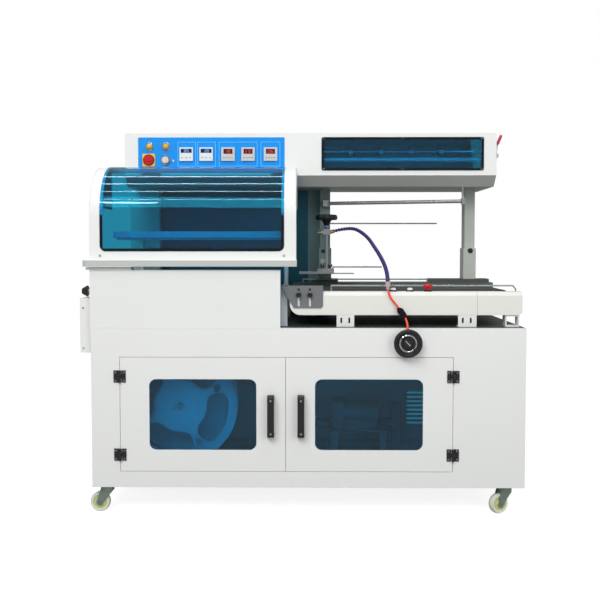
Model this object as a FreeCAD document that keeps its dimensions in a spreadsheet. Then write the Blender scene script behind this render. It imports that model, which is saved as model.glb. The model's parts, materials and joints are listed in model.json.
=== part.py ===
import FreeCAD, Part
import math
import os

import Sketcher
from FreeCAD import Placement, Rotation, Vector

# L bar sealer: a rolling cabinet, a seal chamber under a curved hood at the left, a belt infeed at
# the right and a control and film box carried over both on posts.
# Origin: middle of the footprint on the floor. +X right, +Y to the back, +Z up. Millimetres.

doc = FreeCAD.newDocument("l_bar_sealer")
dims = doc.addObject("Spreadsheet::Sheet", "dims")

SIZES = {
    # cabinet
    "cab_left": -781, "cab_right": 825, "cab_front": -345, "cab_back": 415,
    "cab_low": 105, "cab_top": 700, "skin": 3,
    # doors
    "door_left": -674, "door_mid": -60.5, "door_right": 557, "door_low": 166, "door_high": 591,
    "door_gap": 1.5, "door_deep": 18, "door_skin": 2.5,
    "pane_left_a": -566, "pane_left_b": -169, "pane_right_a": 48, "pane_right_b": 447,
    "pane_low": 246, "pane_high": 510, "pane_round": 26, "pane_thick": 4, "pane_lap": 18,
    "hinge_size": 45, "hinge_low": 228, "hinge_high": 520, "hinge_leaf": 3, "barrel_rad": 5.5,
    "barrel_gap": 0.3, "hinge_pin": 2.5,
    "handle_left": -115, "handle_right": -4, "handle_low": 297, "handle_high": 452,
    "handle_reach": 36, "handle_bar": 11, "handle_wide": 25,
    # casters
    "caster_left": -735, "caster_right": 762, "caster_front": -295, "caster_rear": 350,
    "wheel_rad": 37.5, "wheel_wide": 26, "caster_trail": 28,
    # film waste reel
    "reel_x": -471, "reel_z": 386, "reel_front": -218, "reel_rad": 221, "reel_plate": 6,
    "reel_rim": 33, "reel_hub": 88, "reel_arm_hole": 15, "reel_arm_at": 158, "axle_rad": 12,
    # handwheel
    "crank_x": 387, "crank_z": 647, "crank_rad": 52.5, "crank_tip": -415, "crank_shaft": 7,
    # seal section
    "cover_left": -783, "cover_right": -80, "cover_top": 914,
    "seal_low": 842, "seal_rest": 1033, "jaw_high": 24,
    "jaw_left": -711, "jaw_right": -56, "jaw_front": -270, "jaw_deep": 30, "jaw_side": 35,
    "column_y": 195, "column_rad": 10, "cylinder_rad": 25, "cylinder_low": 500,
    "cylinder_top": 828,
    # belts
    "belt_top": 835, "belt_thick": 3, "drum_rad": 20, "run_gap": 0.3,
    "in_left": -10, "in_right": 790, "in_front": -215, "in_back": 179,
    "out_left": -720, "out_right": -98, "out_front": -205, "out_back": 150,
    # hood
    "hood_left": -783, "hood_right": -22, "hood_front": -342, "hood_low": 950,
    "hood_bend": 190, "hood_top": 1305, "hood_back": 0,
    "glass_left": -744, "glass_right": -66, "glass_low": 983, "glass_back": -25,
    "hood_pin_y": 7, "hood_pin_z": 1300.5,
    "lip_left": -804, "lip_right": -19, "lip_low": 927, "lip_high": 949, "lip_front": -368,
    # control and film box
    "box_left": -729, "box_right": 791, "box_front": 15, "box_back": 400,
    "box_low": 1248, "box_chin": 1291, "box_top": 1463, "bay_left": 60,
    "film_a": 77, "film_b": 739, "film_low": 1311, "film_high": 1446, "film_lap": 10,
    "panel_a": -674, "panel_b": -74, "panel_low": 1308, "panel_high": 1446,
    "gauge_side": 55, "gauge_z": 1377,
    "switch_x": -630, "switch_z": 1353, "key_x": -561, "lamp_z": 1408,
    "perf_y": 100, "perf_z": 1397, "perf_rad": 8, "perf_collar": 22,
    # posts
    "post_front": 220, "post_back": 300, "right_post": 726, "mid_post": 96.5,
    "sleeve_low": 859, "sleeve_high": 993,
    # infeed
    "beam_left": -46, "beam_right": 822, "beam_front": -295, "beam_back": -235,
    "beam_low": 744, "beam_high": 831, "beam_bevel": 14, "beam_round": 40,
    "rear_front": 190, "rear_high": 844,
    "start_x": 343, "stop_x": 406, "estop_x": 473, "button_y": -267,
    # slotted bracket
    "slot_left": -13, "slot_right": 29, "slot_low": 776, "slot_high": 845, "slot_wide": 8,
    # film guide
    "guide_x": 100, "guide_y": 105,
    # side box
    "side_left": -825, "side_low": 606, "side_top": 808, "side_front": -325, "side_back": -90,
    "side_skin": 2,
}
for row, (alias, size) in enumerate(SIZES.items(), start=1):
    dims.set(f"A{row}", alias.replace("_", " "))
    dims.set(f"B{row}", str(size))
    dims.setAlias(f"B{row}", alias)
doc.recompute()

nodes = {}


def text(size):
    """An expression for the sheet: a formula as it is, a number as text."""
    return size if isinstance(size, str) else repr(float(size))


def value(size):
    """The number that a formula over the sheet gives."""
    return float(dims.evalExpression(text(size)))


def keep(item, node):
    """Make an object a sub-part of the machine under its own name."""
    item.Label = node
    nodes[node] = item
    return item


def locate(item, x, y, z):
    for axis, size in zip("xyz", (x, y, z)):
        item.setExpression(f"Placement.Base.{axis}", text(size))


# ---------------------------------------------------------------- primitives and booleans

TURN = {
    "x": Rotation(Vector(0, 1, 0), 90),
    "y": Rotation(Vector(1, 0, 0), -90),
    "z": Rotation(),
}


def box(name, xs, ys, zs):
    solid = doc.addObject("Part::Box", name)
    for length, (low, high) in zip(("Length", "Width", "Height"), (xs, ys, zs)):
        solid.setExpression(length, f"({text(high)}) - ({text(low)})")
    locate(solid, xs[0], ys[0], zs[0])
    return solid


def rod(name, axis, at, radius, ends):
    """A cylinder along one axis; `at` holds its other two coordinates in x, y, z order."""
    solid = doc.addObject("Part::Cylinder", name)
    solid.Placement = Placement(Vector(), TURN[axis])
    solid.setExpression("Radius", text(radius))
    solid.setExpression("Height", f"({text(ends[1])}) - ({text(ends[0])})")
    place = list(at)
    place.insert("xyz".index(axis), ends[0])
    locate(solid, *place)
    return solid


def taper(name, axis, at, radii, ends):
    solid = doc.addObject("Part::Cone", name)
    solid.Placement = Placement(Vector(), TURN[axis])
    solid.setExpression("Radius1", text(radii[0]))
    solid.setExpression("Radius2", text(radii[1]))
    solid.setExpression("Height", f"({text(ends[1])}) - ({text(ends[0])})")
    place = list(at)
    place.insert("xyz".index(axis), ends[0])
    locate(solid, *place)
    return solid


def fuse(name, *parts):
    joined = doc.addObject("Part::MultiFuse", name)
    joined.Shapes = list(parts)
    joined.Refine = True
    return joined


def cut(name, base, *tools):
    tool = tools[0] if len(tools) == 1 else fuse(f"{name}_tools", *tools)
    left = doc.addObject("Part::Cut", name)
    left.Base = base
    left.Tool = tool
    left.Refine = True
    return left


def group(name, *parts):
    """Separate solids of one kind, kept together as one sub-part."""
    bundle = doc.addObject("Part::Compound", name)
    bundle.Links = list(parts)
    return bundle


# ---------------------------------------------------------------- sketched bodies

def new_body(node):
    return keep(doc.addObject("PartDesign::Body", f"{node}_body"), node)


def new_sketch(body, name, role, offset=0):
    """A sketch on one of the body's own origin planes, moved along the plane's normal."""
    sketch = body.newObject("Sketcher::SketchObject", name)
    plane = next(item for item in body.Origin.OriginFeatures if item.Role == role)
    sketch.AttachmentSupport = [(plane, "")]
    sketch.MapMode = "FlatFace"
    sketch.setExpression("AttachmentOffset.Base.z", text(offset))
    return sketch


def tie(sketch, kind, size, *where):
    """A driving dimension bound to the sheet."""
    number = sketch.addConstraint(Sketcher.Constraint(kind, *where, value(size)))
    sketch.setExpression(f"Constraints[{number}]", text(size))


def rectangle(sketch, xs, ys):
    x0, x1, y0, y1 = (value(size) for size in (*xs, *ys))
    corners = [Vector(x0, y0, 0), Vector(x1, y0, 0), Vector(x1, y1, 0), Vector(x0, y1, 0)]
    first = sketch.GeometryCount
    for side in range(4):
        sketch.addGeometry(Part.LineSegment(corners[side], corners[(side + 1) % 4]), False)
    for side in range(4):
        after = (side + 1) % 4
        sketch.addConstraint(Sketcher.Constraint("Coincident", first + side, 2, first + after, 1))
        level = "Horizontal" if side % 2 == 0 else "Vertical"
        sketch.addConstraint(Sketcher.Constraint(level, first + side))
    tie(sketch, "DistanceX", xs[0], -1, 1, first, 1)
    tie(sketch, "DistanceY", ys[0], -1, 1, first, 1)
    tie(sketch, "DistanceX", xs[1], -1, 1, first + 2, 1)
    tie(sketch, "DistanceY", ys[1], -1, 1, first + 2, 1)


def rounded(sketch, xs, ys, radius):
    """A rectangle with round corners: four lines and four tangent arcs."""
    x0, x1, y0, y1, r = (value(size) for size in (*xs, *ys, radius))
    lines = [((x0 + r, y0), (x1 - r, y0)), ((x1, y0 + r), (x1, y1 - r)),
             ((x1 - r, y1), (x0 + r, y1)), ((x0, y1 - r), (x0, y0 + r))]
    centres = [(x1 - r, y0 + r), (x1 - r, y1 - r), (x0 + r, y1 - r), (x0 + r, y0 + r)]
    first = sketch.GeometryCount
    for side, ((ax, ay), (bx, by)) in enumerate(lines):
        sketch.addGeometry(Part.LineSegment(Vector(ax, ay, 0), Vector(bx, by, 0)), False)
        ring = Part.Circle(Vector(*centres[side], 0), Vector(0, 0, 1), r)
        start = math.radians(90 * side - 90)
        sketch.addGeometry(Part.ArcOfCircle(ring, start, start + math.pi / 2), False)
    for side in range(4):
        line, arc, after = first + 2 * side, first + 2 * side + 1, first + 2 * ((side + 1) % 4)
        sketch.addConstraint(Sketcher.Constraint("Tangent", line, 2, arc, 1))
        sketch.addConstraint(Sketcher.Constraint("Tangent", arc, 2, after, 1))
        level = "Horizontal" if side % 2 == 0 else "Vertical"
        sketch.addConstraint(Sketcher.Constraint(level, line))
        if side:
            sketch.addConstraint(Sketcher.Constraint("Equal", first + 1, arc))
    tie(sketch, "Radius", radius, first + 1)
    tie(sketch, "DistanceY", ys[0], -1, 1, first, 1)
    tie(sketch, "DistanceX", xs[1], -1, 1, first + 2, 1)
    tie(sketch, "DistanceY", ys[1], -1, 1, first + 4, 1)
    tie(sketch, "DistanceX", xs[0], -1, 1, first + 6, 1)


def circle(sketch, x, y, radius):
    ring = Part.Circle(Vector(value(x), value(y), 0), Vector(0, 0, 1), value(radius))
    number = sketch.addGeometry(ring, False)
    tie(sketch, "Radius", radius, number)
    for kind, size, axis in (("DistanceX", x, -2), ("DistanceY", y, -1)):
        if value(size) == 0:
            sketch.addConstraint(Sketcher.Constraint("PointOnObject", number, 3, axis))
        else:
            tie(sketch, kind, size, -1, 1, number, 3)


def path_edges(start, steps):
    """Edges through a path of steps: (end) is a line, (middle, end) an arc."""
    edges = []
    here = Vector(*start)
    for step in steps:
        points = [Vector(*point) for point in step]
        if len(points) == 1:
            edges.append(Part.LineSegment(here, points[0]))
        else:
            edges.append(Part.Arc(here, points[0], points[1]))
        here = points[-1]
    return edges


def outline(sketch, start, steps):
    """A closed outline in a sketch, from 2-D steps of lines and arcs."""
    flat = [[(x, y, 0) for x, y in step] for step in steps]
    first = sketch.GeometryCount
    edges = path_edges((*start, 0), flat)
    for edge in edges:
        sketch.addGeometry(edge, False)
    for number in range(len(edges)):
        after = (number + 1) % len(edges)
        sketch.addConstraint(Sketcher.Constraint("Block", first + number))


def pad(body, sketch, length):
    feature = body.newObject("PartDesign::Pad", f"{sketch.Name}_pad")
    feature.Profile = sketch
    feature.setExpression("Length", text(length))
    body.Tip = feature
    return feature


def pocket(body, sketch, depth):
    """Cut away from the sketch's own normal, and make sure that the cut took something."""
    doc.recompute()
    before = body.Shape.Volume
    feature = body.newObject("PartDesign::Pocket", f"{sketch.Name}_pocket")
    feature.Profile = sketch
    feature.setExpression("Length", text(depth))
    body.Tip = feature
    doc.recompute()
    if not body.Shape.Volume < before - 1:
        raise RuntimeError(f"{feature.Name} cuts nothing")
    return feature


def revolve(body, sketch, axis="H_Axis"):
    feature = body.newObject("PartDesign::Revolution", f"{sketch.Name}_turned")
    feature.Profile = sketch
    feature.ReferenceAxis = (sketch, [axis])
    feature.Angle = 360
    body.Tip = feature
    return feature


def soften(body, radius, chosen):
    """Fillet the edges that `chosen` picks."""
    doc.recompute()
    tip = body.Tip
    names = [f"Edge{i}" for i, edge in enumerate(tip.Shape.Edges, start=1) if chosen(edge)]
    feature = body.newObject("PartDesign::Fillet", f"{tip.Name}_round")
    feature.Base = (tip, names)
    feature.setExpression("Radius", text(radius))
    body.Tip = feature
    return feature


def along(edge, direction):
    """True for a straight edge that runs along a direction."""
    if edge.Curve.TypeId != "Part::GeomLine":
        return False
    return abs(edge.Curve.Direction.dot(Vector(*direction))) > 0.999


# ---------------------------------------------------------------- shapes from Part's functions

def feature(node, shape):
    item = doc.addObject("Part::Feature", f"{node}_shape")
    item.Shape = shape
    return keep(item, node)


def slab(start, steps, push):
    """A flat outline pushed straight through."""
    wire = Part.Wire([edge.toShape() for edge in path_edges(start, steps)])
    return Part.Face(wire).extrude(Vector(*push))


def bar(start, end, radius):
    a, b = Vector(*start), Vector(*end)
    return Part.makeCylinder(radius, (b - a).Length, a, b - a)


def route_radii(route):
    """The largest tangent arc at each inner point of a route, and its turn."""
    points = [Vector(*point) for point in route]
    for before, here, after in zip(points, points[1:], points[2:]):
        turn = (here - before).getAngle(after - here)
        run = min((here - before).Length, (after - here).Length)
        yield here, 0.45 * run, turn, 0.45 * run / math.tan(turn / 2)


def bent_tube(route, radius):
    """A round bar or tube along straight runs joined by tangent arcs; returns its wire too."""
    points = [Vector(*point) for point in route]
    edges = []
    here = points[0]
    for (corner, reach, turn, bend), before, after in zip(route_radii(route), points, points[2:]):
        enter = corner - (corner - before).normalize() * reach
        leave = corner + (after - corner).normalize() * reach
        inward = ((before - corner).normalize() + (after - corner).normalize()).normalize()
        middle = corner + inward * (bend / math.cos(turn / 2) - bend)
        edges.append(Part.LineSegment(here, enter).toShape())
        edges.append(Part.Arc(enter, middle, leave).toShape())
        here = leave
    edges.append(Part.LineSegment(here, points[-1]).toShape())
    spine = Part.Wire(edges)
    ring = Part.makeCircle(radius, points[0], points[1] - points[0])
    tube = spine.makePipeShell([Part.Wire(ring)], True, False, 2)
    return tube, spine


# ---------------------------------------------------------------- cabinet

def cabinet_shell():
    """Side walls, back and floor of the cabinet, folded from sheet, open to the front and top."""
    body = new_body("cabinet_shell")
    blank = new_sketch(body, "shell_blank", "XY_Plane", "dims.cab_low")
    rectangle(blank, ("dims.cab_left", "dims.cab_right"),
              ("dims.cab_front + dims.skin", "dims.cab_back"))
    pad(body, blank, "dims.cab_top - dims.skin - dims.cab_low")
    hollow = new_sketch(body, "shell_hollow", "XY_Plane", "dims.cab_top - dims.skin")
    rectangle(hollow, ("dims.cab_left + dims.skin", "dims.cab_right - dims.skin"),
              ("dims.cab_front", "dims.cab_back - dims.skin"))
    pocket(body, hollow, "dims.cab_top - 2 * dims.skin - dims.cab_low")
    # cooling slots low in the back
    vent = new_sketch(body, "shell_vent", "XZ_Plane", "-(dims.cab_back - 2 * dims.skin)")
    rounded(vent, (480, 620), (180, 188), 3.9)
    cutter = pocket(body, vent, "3 * dims.skin")
    rows = body.newObject("PartDesign::LinearPattern", "shell_vents")
    rows.Originals = [cutter]
    rows.Direction = (vent, ["V_Axis"])
    rows.Length = 140
    rows.Occurrences = 8
    body.Tip = rows


def cabinet_front():
    """Front face with the door opening, its folded return and the handwheel's bearing boss."""
    gap = "dims.door_gap"
    opening_x = (f"dims.door_left - {gap}", f"dims.door_right + {gap}")
    opening_z = (f"dims.door_low - {gap}", f"dims.door_high + {gap}")
    body = new_body("cabinet_front")
    face = new_sketch(body, "face_sheet", "XZ_Plane", "-(dims.cab_front + dims.skin)")
    rectangle(face, ("dims.cab_left", "dims.cab_right"), ("dims.cab_low", "dims.cab_top - dims.skin"))
    pad(body, face, "dims.skin")
    fold = new_sketch(body, "face_fold", "XZ_Plane", "-(dims.cab_front + dims.door_deep)")
    rectangle(fold, (f"{opening_x[0]} - dims.skin", f"{opening_x[1]} + dims.skin"),
              (f"{opening_z[0]} - dims.skin", f"{opening_z[1]} + dims.skin"))
    pad(body, fold, "dims.door_deep - dims.skin")
    boss = new_sketch(body, "face_boss", "XZ_Plane", "-dims.cab_front")
    circle(boss, "dims.crank_x", "dims.crank_z", 14)
    pad(body, boss, 6)
    opening = new_sketch(body, "face_opening", "XZ_Plane", "-(dims.cab_front - 1)")
    rectangle(opening, opening_x, opening_z)
    pocket(body, opening, "dims.door_deep + 2")
    bearing = new_sketch(body, "face_bearing", "XZ_Plane", "-(dims.cab_front - 10)")
    circle(bearing, "dims.crank_x", "dims.crank_z", "dims.crank_shaft + 0.05")
    pocket(body, bearing, 20)


def cabinet_deck():
    """Top plate of the cabinet, with clearance holes for the two jaw cylinders."""
    plate = box("deck_plate", ("dims.cab_left", "dims.cab_right"), ("dims.cab_front", "dims.cab_back"),
                ("dims.cab_top - dims.skin", "dims.cab_top"))
    holes = [rod(f"deck_hole_{side}", "z", (x, "dims.column_y"), "dims.cylinder_rad",
                 ("dims.cab_top - 10", "dims.cab_top + 10"))
             for side, x in COLUMNS.items()]
    keep(cut("deck", plate, *holes), "cabinet_deck")


COLUMNS = {
    "left": "dims.jaw_left + dims.jaw_side / 2",
    "right": "dims.jaw_right - dims.jaw_side / 2",
}


def inner_frame():
    """Square tubes in the cabinet: door post, reel post with its axle, drive stand."""
    floor = "dims.cab_low + dims.skin"
    roof = "dims.cab_top - dims.skin"
    tube = 40
    door_post = box("frame_door_post", (-80, -40), (-325, -285), (floor, roof))
    reel_post = box("frame_reel_post", ("dims.reel_x - 20", "dims.reel_x + 20"), (-60, -20), (floor, roof))
    axle = rod("frame_axle", "y", ("dims.reel_x", "dims.reel_z"), "dims.axle_rad", (-240, -60))
    collar = rod("frame_collar", "y", ("dims.reel_x", "dims.reel_z"), 26, (-72, -60))
    stand_post = box("frame_stand_post", (401, 401 + tube), (300, 300 + tube), (floor, 294))
    stand_rail = box("frame_stand_rail", (-20, 401), (300, 300 + tube), (190, 190 + 28))
    stand_foot = box("frame_stand_foot", (-20, 20), (300, 300 + tube), (floor, 190))
    drive_shelf = box("frame_drive_shelf", (120, 360), (100, 300), (190 + 22, 190 + 28))
    drive_legs = [box(f"frame_drive_leg_{x}", (x, x + 30), (100, 130), (floor, 212)) for x in (120, 330)]
    drive = rod("frame_drive", "x", (200, 280), 46, (170, 330))
    drive_foot = box("frame_drive_foot", (180, 320), (160, 240), (218, 250))
    gearbox = box("frame_gearbox", (128, 176), (150, 250), (218, 330))
    keep(group("inner_frame", door_post,
               fuse("reel_stand", reel_post, axle, collar),
               fuse("drive_stand", stand_post, stand_rail, stand_foot, drive_shelf, *drive_legs,
                    drive, drive_foot, gearbox)), "inner_frame")


# ---------------------------------------------------------------- doors

def door(side, x0, x1, pane_x):
    """A folded door leaf with a round-cornered window, and the pane fixed behind its skin."""
    front = "dims.cab_front"
    xs = (x0, x1)
    zs = ("dims.door_low", "dims.door_high")
    body = new_body(f"door_{side}")
    blank = new_sketch(body, f"door_{side}_blank", "XZ_Plane", f"-({front} + dims.door_deep)")
    rectangle(blank, xs, zs)
    pad(body, blank, "dims.door_deep")
    # hollow from behind: a sketch at the inner face of the skin, cut towards the back
    hollow = new_sketch(body, f"door_{side}_hollow", "XZ_Plane", f"-({front} + dims.door_skin)")
    rectangle(hollow, (f"{x0} + dims.door_skin", f"{x1} - dims.door_skin"),
              ("dims.door_low + dims.door_skin", "dims.door_high - dims.door_skin"))
    pocket(body, hollow, "dims.door_deep")
    light = new_sketch(body, f"door_{side}_light", "XZ_Plane", f"-({front} - 1)")
    rounded(light, pane_x, ("dims.pane_low", "dims.pane_high"), "dims.pane_round")
    pocket(body, light, "dims.door_deep")

    pane = new_body(f"door_{side}_pane")
    sheet = new_sketch(pane, f"pane_{side}_sheet", "XZ_Plane",
                       f"-({front} + dims.door_skin + dims.pane_thick)")
    rounded(sheet, (f"{pane_x[0]} - dims.pane_lap", f"{pane_x[1]} + dims.pane_lap"),
            ("dims.pane_low - dims.pane_lap", "dims.pane_high + dims.pane_lap"), 10)
    pad(pane, sheet, "dims.pane_thick")


def leaf_plate(name, x0, x1, z):
    """One flat hinge leaf lying on the cabinet's or the door's front."""
    half = "dims.hinge_size / 2"
    return box(name, (x0, x1), ("dims.cab_front - dims.hinge_leaf", "dims.cab_front"),
               (f"{z} - {half}", f"{z} + {half}"))


def door_hardware(side, edge, inward, handle_x):
    """Moving hinge leaves and the bow handle of one door; returns the fixed leaves and pins."""
    pin_y = "dims.cab_front - dims.barrel_rad - dims.barrel_gap"
    reach = 22.5
    moving = []
    fixed = []
    for level in ("low", "high"):
        z = f"dims.hinge_{level}"
        tag = f"{side}_{level}"
        near, far = sorted((inward * 1.2, inward * reach))
        plate = leaf_plate(f"leaf_{tag}", f"{edge} + {near}", f"{edge} + {far}", z)
        knuckle = rod(f"knuckle_{tag}", "z", (edge, pin_y), "dims.barrel_rad",
                      (f"{z} - 7.2", f"{z} + 7.2"))
        notches = [box(f"leaf_notch_{tag}_{end}", (f"{edge} - 7", f"{edge} + 7"),
                       (f"{pin_y} - 8", "dims.cab_front + 1"), ends)
                   for end, ends in (("low", (f"{z} - 24", f"{z} - 7.2")),
                                     ("top", (f"{z} + 7.2", f"{z} + 24")))]
        bore = rod(f"leaf_bore_{tag}", "z", (edge, pin_y), "dims.hinge_pin + 0.05",
                   (f"{z} - 30", f"{z} + 30"))
        moving.append(cut(f"leaf_moving_{tag}", fuse(f"leaf_joined_{tag}", plate, knuckle),
                          *notches, bore))
        near, far = sorted((-inward * 1.2, -inward * reach))
        plate = leaf_plate(f"frame_leaf_{tag}", f"{edge} + {near}", f"{edge} + {far}", z)
        ends = [rod(f"frame_knuckle_{tag}_{i}", "z", (edge, pin_y), "dims.barrel_rad", (a, b))
                for i, (a, b) in enumerate(((f"{z} - 22.5", f"{z} - 7.6"), (f"{z} + 7.6", f"{z} + 22.5")))]
        pin = rod(f"frame_pin_{tag}", "z", (edge, pin_y), "dims.hinge_pin",
                  (f"{z} - 22.5", f"{z} + 22.5"))
        notch = box(f"frame_notch_{tag}", (f"{edge} - 7", f"{edge} + 7"),
                    (f"{pin_y} - 8", "dims.cab_front + 1"), (f"{z} - 7.6", f"{z} + 7.6"))
        leaf = cut(f"frame_cut_{tag}", fuse(f"frame_joined_{tag}", plate, *ends), notch)
        fixed.append(fuse(f"leaf_fixed_{tag}", leaf, pin))
    # bow handle: a flat bow with two feet on the door
    grip = "dims.handle_bar"
    out = "dims.cab_front - dims.handle_reach"
    half = "dims.handle_wide / 2"
    bow = box(f"bow_{side}", (f"{handle_x} - {half}", f"{handle_x} + {half}"), (out, "dims.cab_front"),
              ("dims.handle_low", "dims.handle_high"))
    gap = box(f"bow_gap_{side}", (f"{handle_x} - 20", f"{handle_x} + 20"),
              (f"{out} + {grip}", "dims.cab_front + 1"),
              ("dims.handle_low + 16", "dims.handle_high - 16"))
    handle = doc.addObject("Part::Fillet", f"bow_round_{side}")
    bent = cut(f"bow_cut_{side}", bow, gap)
    doc.recompute()
    handle.Base = bent
    bends = []
    for number, edge in enumerate(bent.Shape.Edges, start=1):
        middle = edge.CenterOfMass
        if along(edge, (1, 0, 0)) and middle.y < value("dims.cab_front") - 5:
            bend = 14.0 if middle.y < value(out) + 1 else 6.0
            bends.append((number, bend, bend))
    handle.Edges = bends
    keep(group(f"door_{side}_hardware", *moving, handle), f"door_{side}_hardware")
    return fixed


def doors():
    middle = "dims.door_mid"
    half_gap = "dims.door_gap / 2"
    door("left", "dims.door_left", f"{middle} - {half_gap}", ("dims.pane_left_a", "dims.pane_left_b"))
    door("right", f"{middle} + {half_gap}", "dims.door_right", ("dims.pane_right_a", "dims.pane_right_b"))
    fixed = door_hardware("left", f"dims.door_left - {half_gap}", 1, "dims.handle_left")
    fixed += door_hardware("right", f"dims.door_right + {half_gap}", -1, "dims.handle_right")
    keep(group("hinge_leaves", *fixed), "hinge_leaves")


# ---------------------------------------------------------------- casters

CASTERS = {
    "front_left": ("dims.caster_left", "dims.caster_front", 0),
    "front_right": ("dims.caster_right", "dims.caster_front", 25),
    "rear_left": ("dims.caster_left", "dims.caster_rear", -15),
    "rear_right": ("dims.caster_right", "dims.caster_rear", 10),
}


def fork_shape():
    """Swivel fork about its own kingpin: a race disc and two tapered legs down to the axle."""
    trail, radius = value("dims.caster_trail"), value("dims.wheel_rad")
    inner = value("dims.wheel_wide") / 2 + 2
    sheet = 3
    disc_low, disc_high = 84, 94.6
    disc = Part.makeCylinder(24, disc_high - disc_low, Vector(0, 0, disc_low))
    shape = disc
    for side in (-1, 1):
        y = side * inner if side > 0 else -inner - sheet
        leg = slab((-22, y, disc_high), [
            ((20, y, disc_high),), ((20, y, disc_low - 6),), ((-trail + 12, y, radius),),
            ((-trail, y, radius - 12), (-trail - 12, y, radius)), ((-22, y, disc_high),)],
            (0, sheet, 0))
        shape = shape.fuse(leg)
    axle = Part.makeCylinder(4, 2 * (inner + sheet) + 6, Vector(-trail, -inner - sheet - 3, radius),
                             Vector(0, 1, 0))
    bore = Part.makeCylinder(6.05, 40, Vector(0, 0, 70))
    seat = Part.makeCylinder(10, 5, Vector(0, 0, disc_low - 1))
    return shape.fuse(axle).cut(bore).cut(seat).removeSplitter()


def casters():
    plates = []
    for tag, (x, y, turn) in CASTERS.items():
        plate = box(f"plate_{tag}", (f"{x} - 40", f"{x} + 40"), (f"{y} - 32", f"{y} + 32"),
                    ("dims.cab_low - 4", "dims.cab_low"))
        race = rod(f"race_{tag}", "z", (x, y), 24, (95, "dims.cab_low - 4"))
        pin = rod(f"kingpin_{tag}", "z", (x, y), 6, (84.5, "dims.cab_low - 4"))
        head = rod(f"kinghead_{tag}", "z", (x, y), 9.5, (84.4, 87.6))
        plates.append(fuse(f"caster_top_{tag}", plate, race, pin, head))

        fork = feature(f"fork_{tag}", fork_shape())
        spot = Vector(value(x), value(y), 0)
        fork.Placement = Placement(spot, Rotation(Vector(0, 0, 1), turn))

        wheel = new_body(f"wheel_{tag}")
        profile = new_sketch(wheel, f"wheel_{tag}_profile", "YZ_Plane")
        half, rim, tread = value("dims.wheel_wide") / 2, value("dims.wheel_rad"), 5
        outline(profile, (-half, 4.1), [
            ((half, 4.1),), ((half, 12),), ((half - 4, 15),), ((half - 4, 24),), ((half, 27),),
            ((half, rim - tread),), ((half - 1.5, rim - 1.5), (half - tread, rim)), ((-half + tread, rim),),
            ((-half + 1.5, rim - 1.5), (-half, rim - tread)), ((-half, 27),), ((-half + 4, 24),),
            ((-half + 4, 15),), ((-half, 12),), ((-half, 4.1),)])
        revolve(wheel, profile)
        back = Rotation(Vector(0, 0, 1), turn)
        hub = spot + back.multVec(Vector(-value("dims.caster_trail"), 0, rim))
        wheel.Placement = Placement(hub, back)
    keep(group("caster_plates", *plates), "caster_plates")


# ---------------------------------------------------------------- reel and handwheel

def waste_reel():
    """Film waste reel: a cut-out front flange on a drum, and a plain flange behind it."""
    body = new_body("waste_reel")
    rim, hub = value("dims.reel_rad") - value("dims.reel_rim"), value("dims.reel_hub") + 14
    flange = new_sketch(body, "reel_flange", "XZ_Plane", "-dims.reel_plate")
    circle(flange, 0, 0, "dims.reel_rad")
    pad(body, flange, "dims.reel_plate")
    window = new_sketch(body, "reel_window", "XZ_Plane", 1)
    low, high = math.radians(-46), math.radians(8)
    cap = (rim - hub) / 2
    middle = (rim + hub) / 2

    def polar(radius, angle):
        return (radius * math.cos(angle), radius * math.sin(angle))

    ease = 0.30 * cap / middle
    half_way = (low + high) / 2
    outline(window, polar(hub, low), [
        (polar(hub, half_way), polar(hub, high)),
        (polar(middle, high + cap / middle - ease), polar(rim, high)),
        (polar(rim, half_way), polar(rim, low)),
        (polar(middle, low - cap / middle + ease), polar(hub, low))])
    windows = pocket(body, window, "dims.reel_plate + 2")
    hole = new_sketch(body, "reel_hole", "XZ_Plane", 1)
    arm = math.radians(26)
    reach = value("dims.reel_arm_at")
    circle(hole, reach * math.cos(arm), reach * math.sin(arm), "dims.reel_arm_hole")
    holes = pocket(body, hole, "dims.reel_plate + 2")
    ring = body.newObject("PartDesign::PolarPattern", "reel_arms")
    ring.Originals = [windows, holes]
    ring.Axis = (window, ["N_Axis"])
    ring.Angle = 360
    ring.Occurrences = 4
    body.Tip = ring
    # three lobed recess round the axle nut
    lobe = new_sketch(body, "reel_lobe", "XZ_Plane", 1)
    tips = [polar(44, math.radians(90 + 120 * i)) for i in range(3)]
    waist = [polar(17, math.radians(150 + 120 * i)) for i in range(3)]
    outline(lobe, tips[0], [(waist[0], tips[1]), (waist[1], tips[2]), (waist[2], tips[0])])
    pocket(body, lobe, 3.5)
    drum = new_sketch(body, "reel_drum", "XZ_Plane", -120)
    circle(drum, 0, 0, 45)
    pad(body, drum, "120 - dims.reel_plate")
    plain = new_sketch(body, "reel_plain", "XZ_Plane", -124)
    circle(plain, 0, 0, "dims.reel_rad - 6")
    pad(body, plain, 4)
    bore = new_sketch(body, "reel_bore", "XZ_Plane", 2)
    circle(bore, 0, 0, "dims.axle_rad + 0.05")
    pocket(body, bore, 140)
    locate(body, "dims.reel_x", "dims.reel_front", "dims.reel_z")


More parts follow.
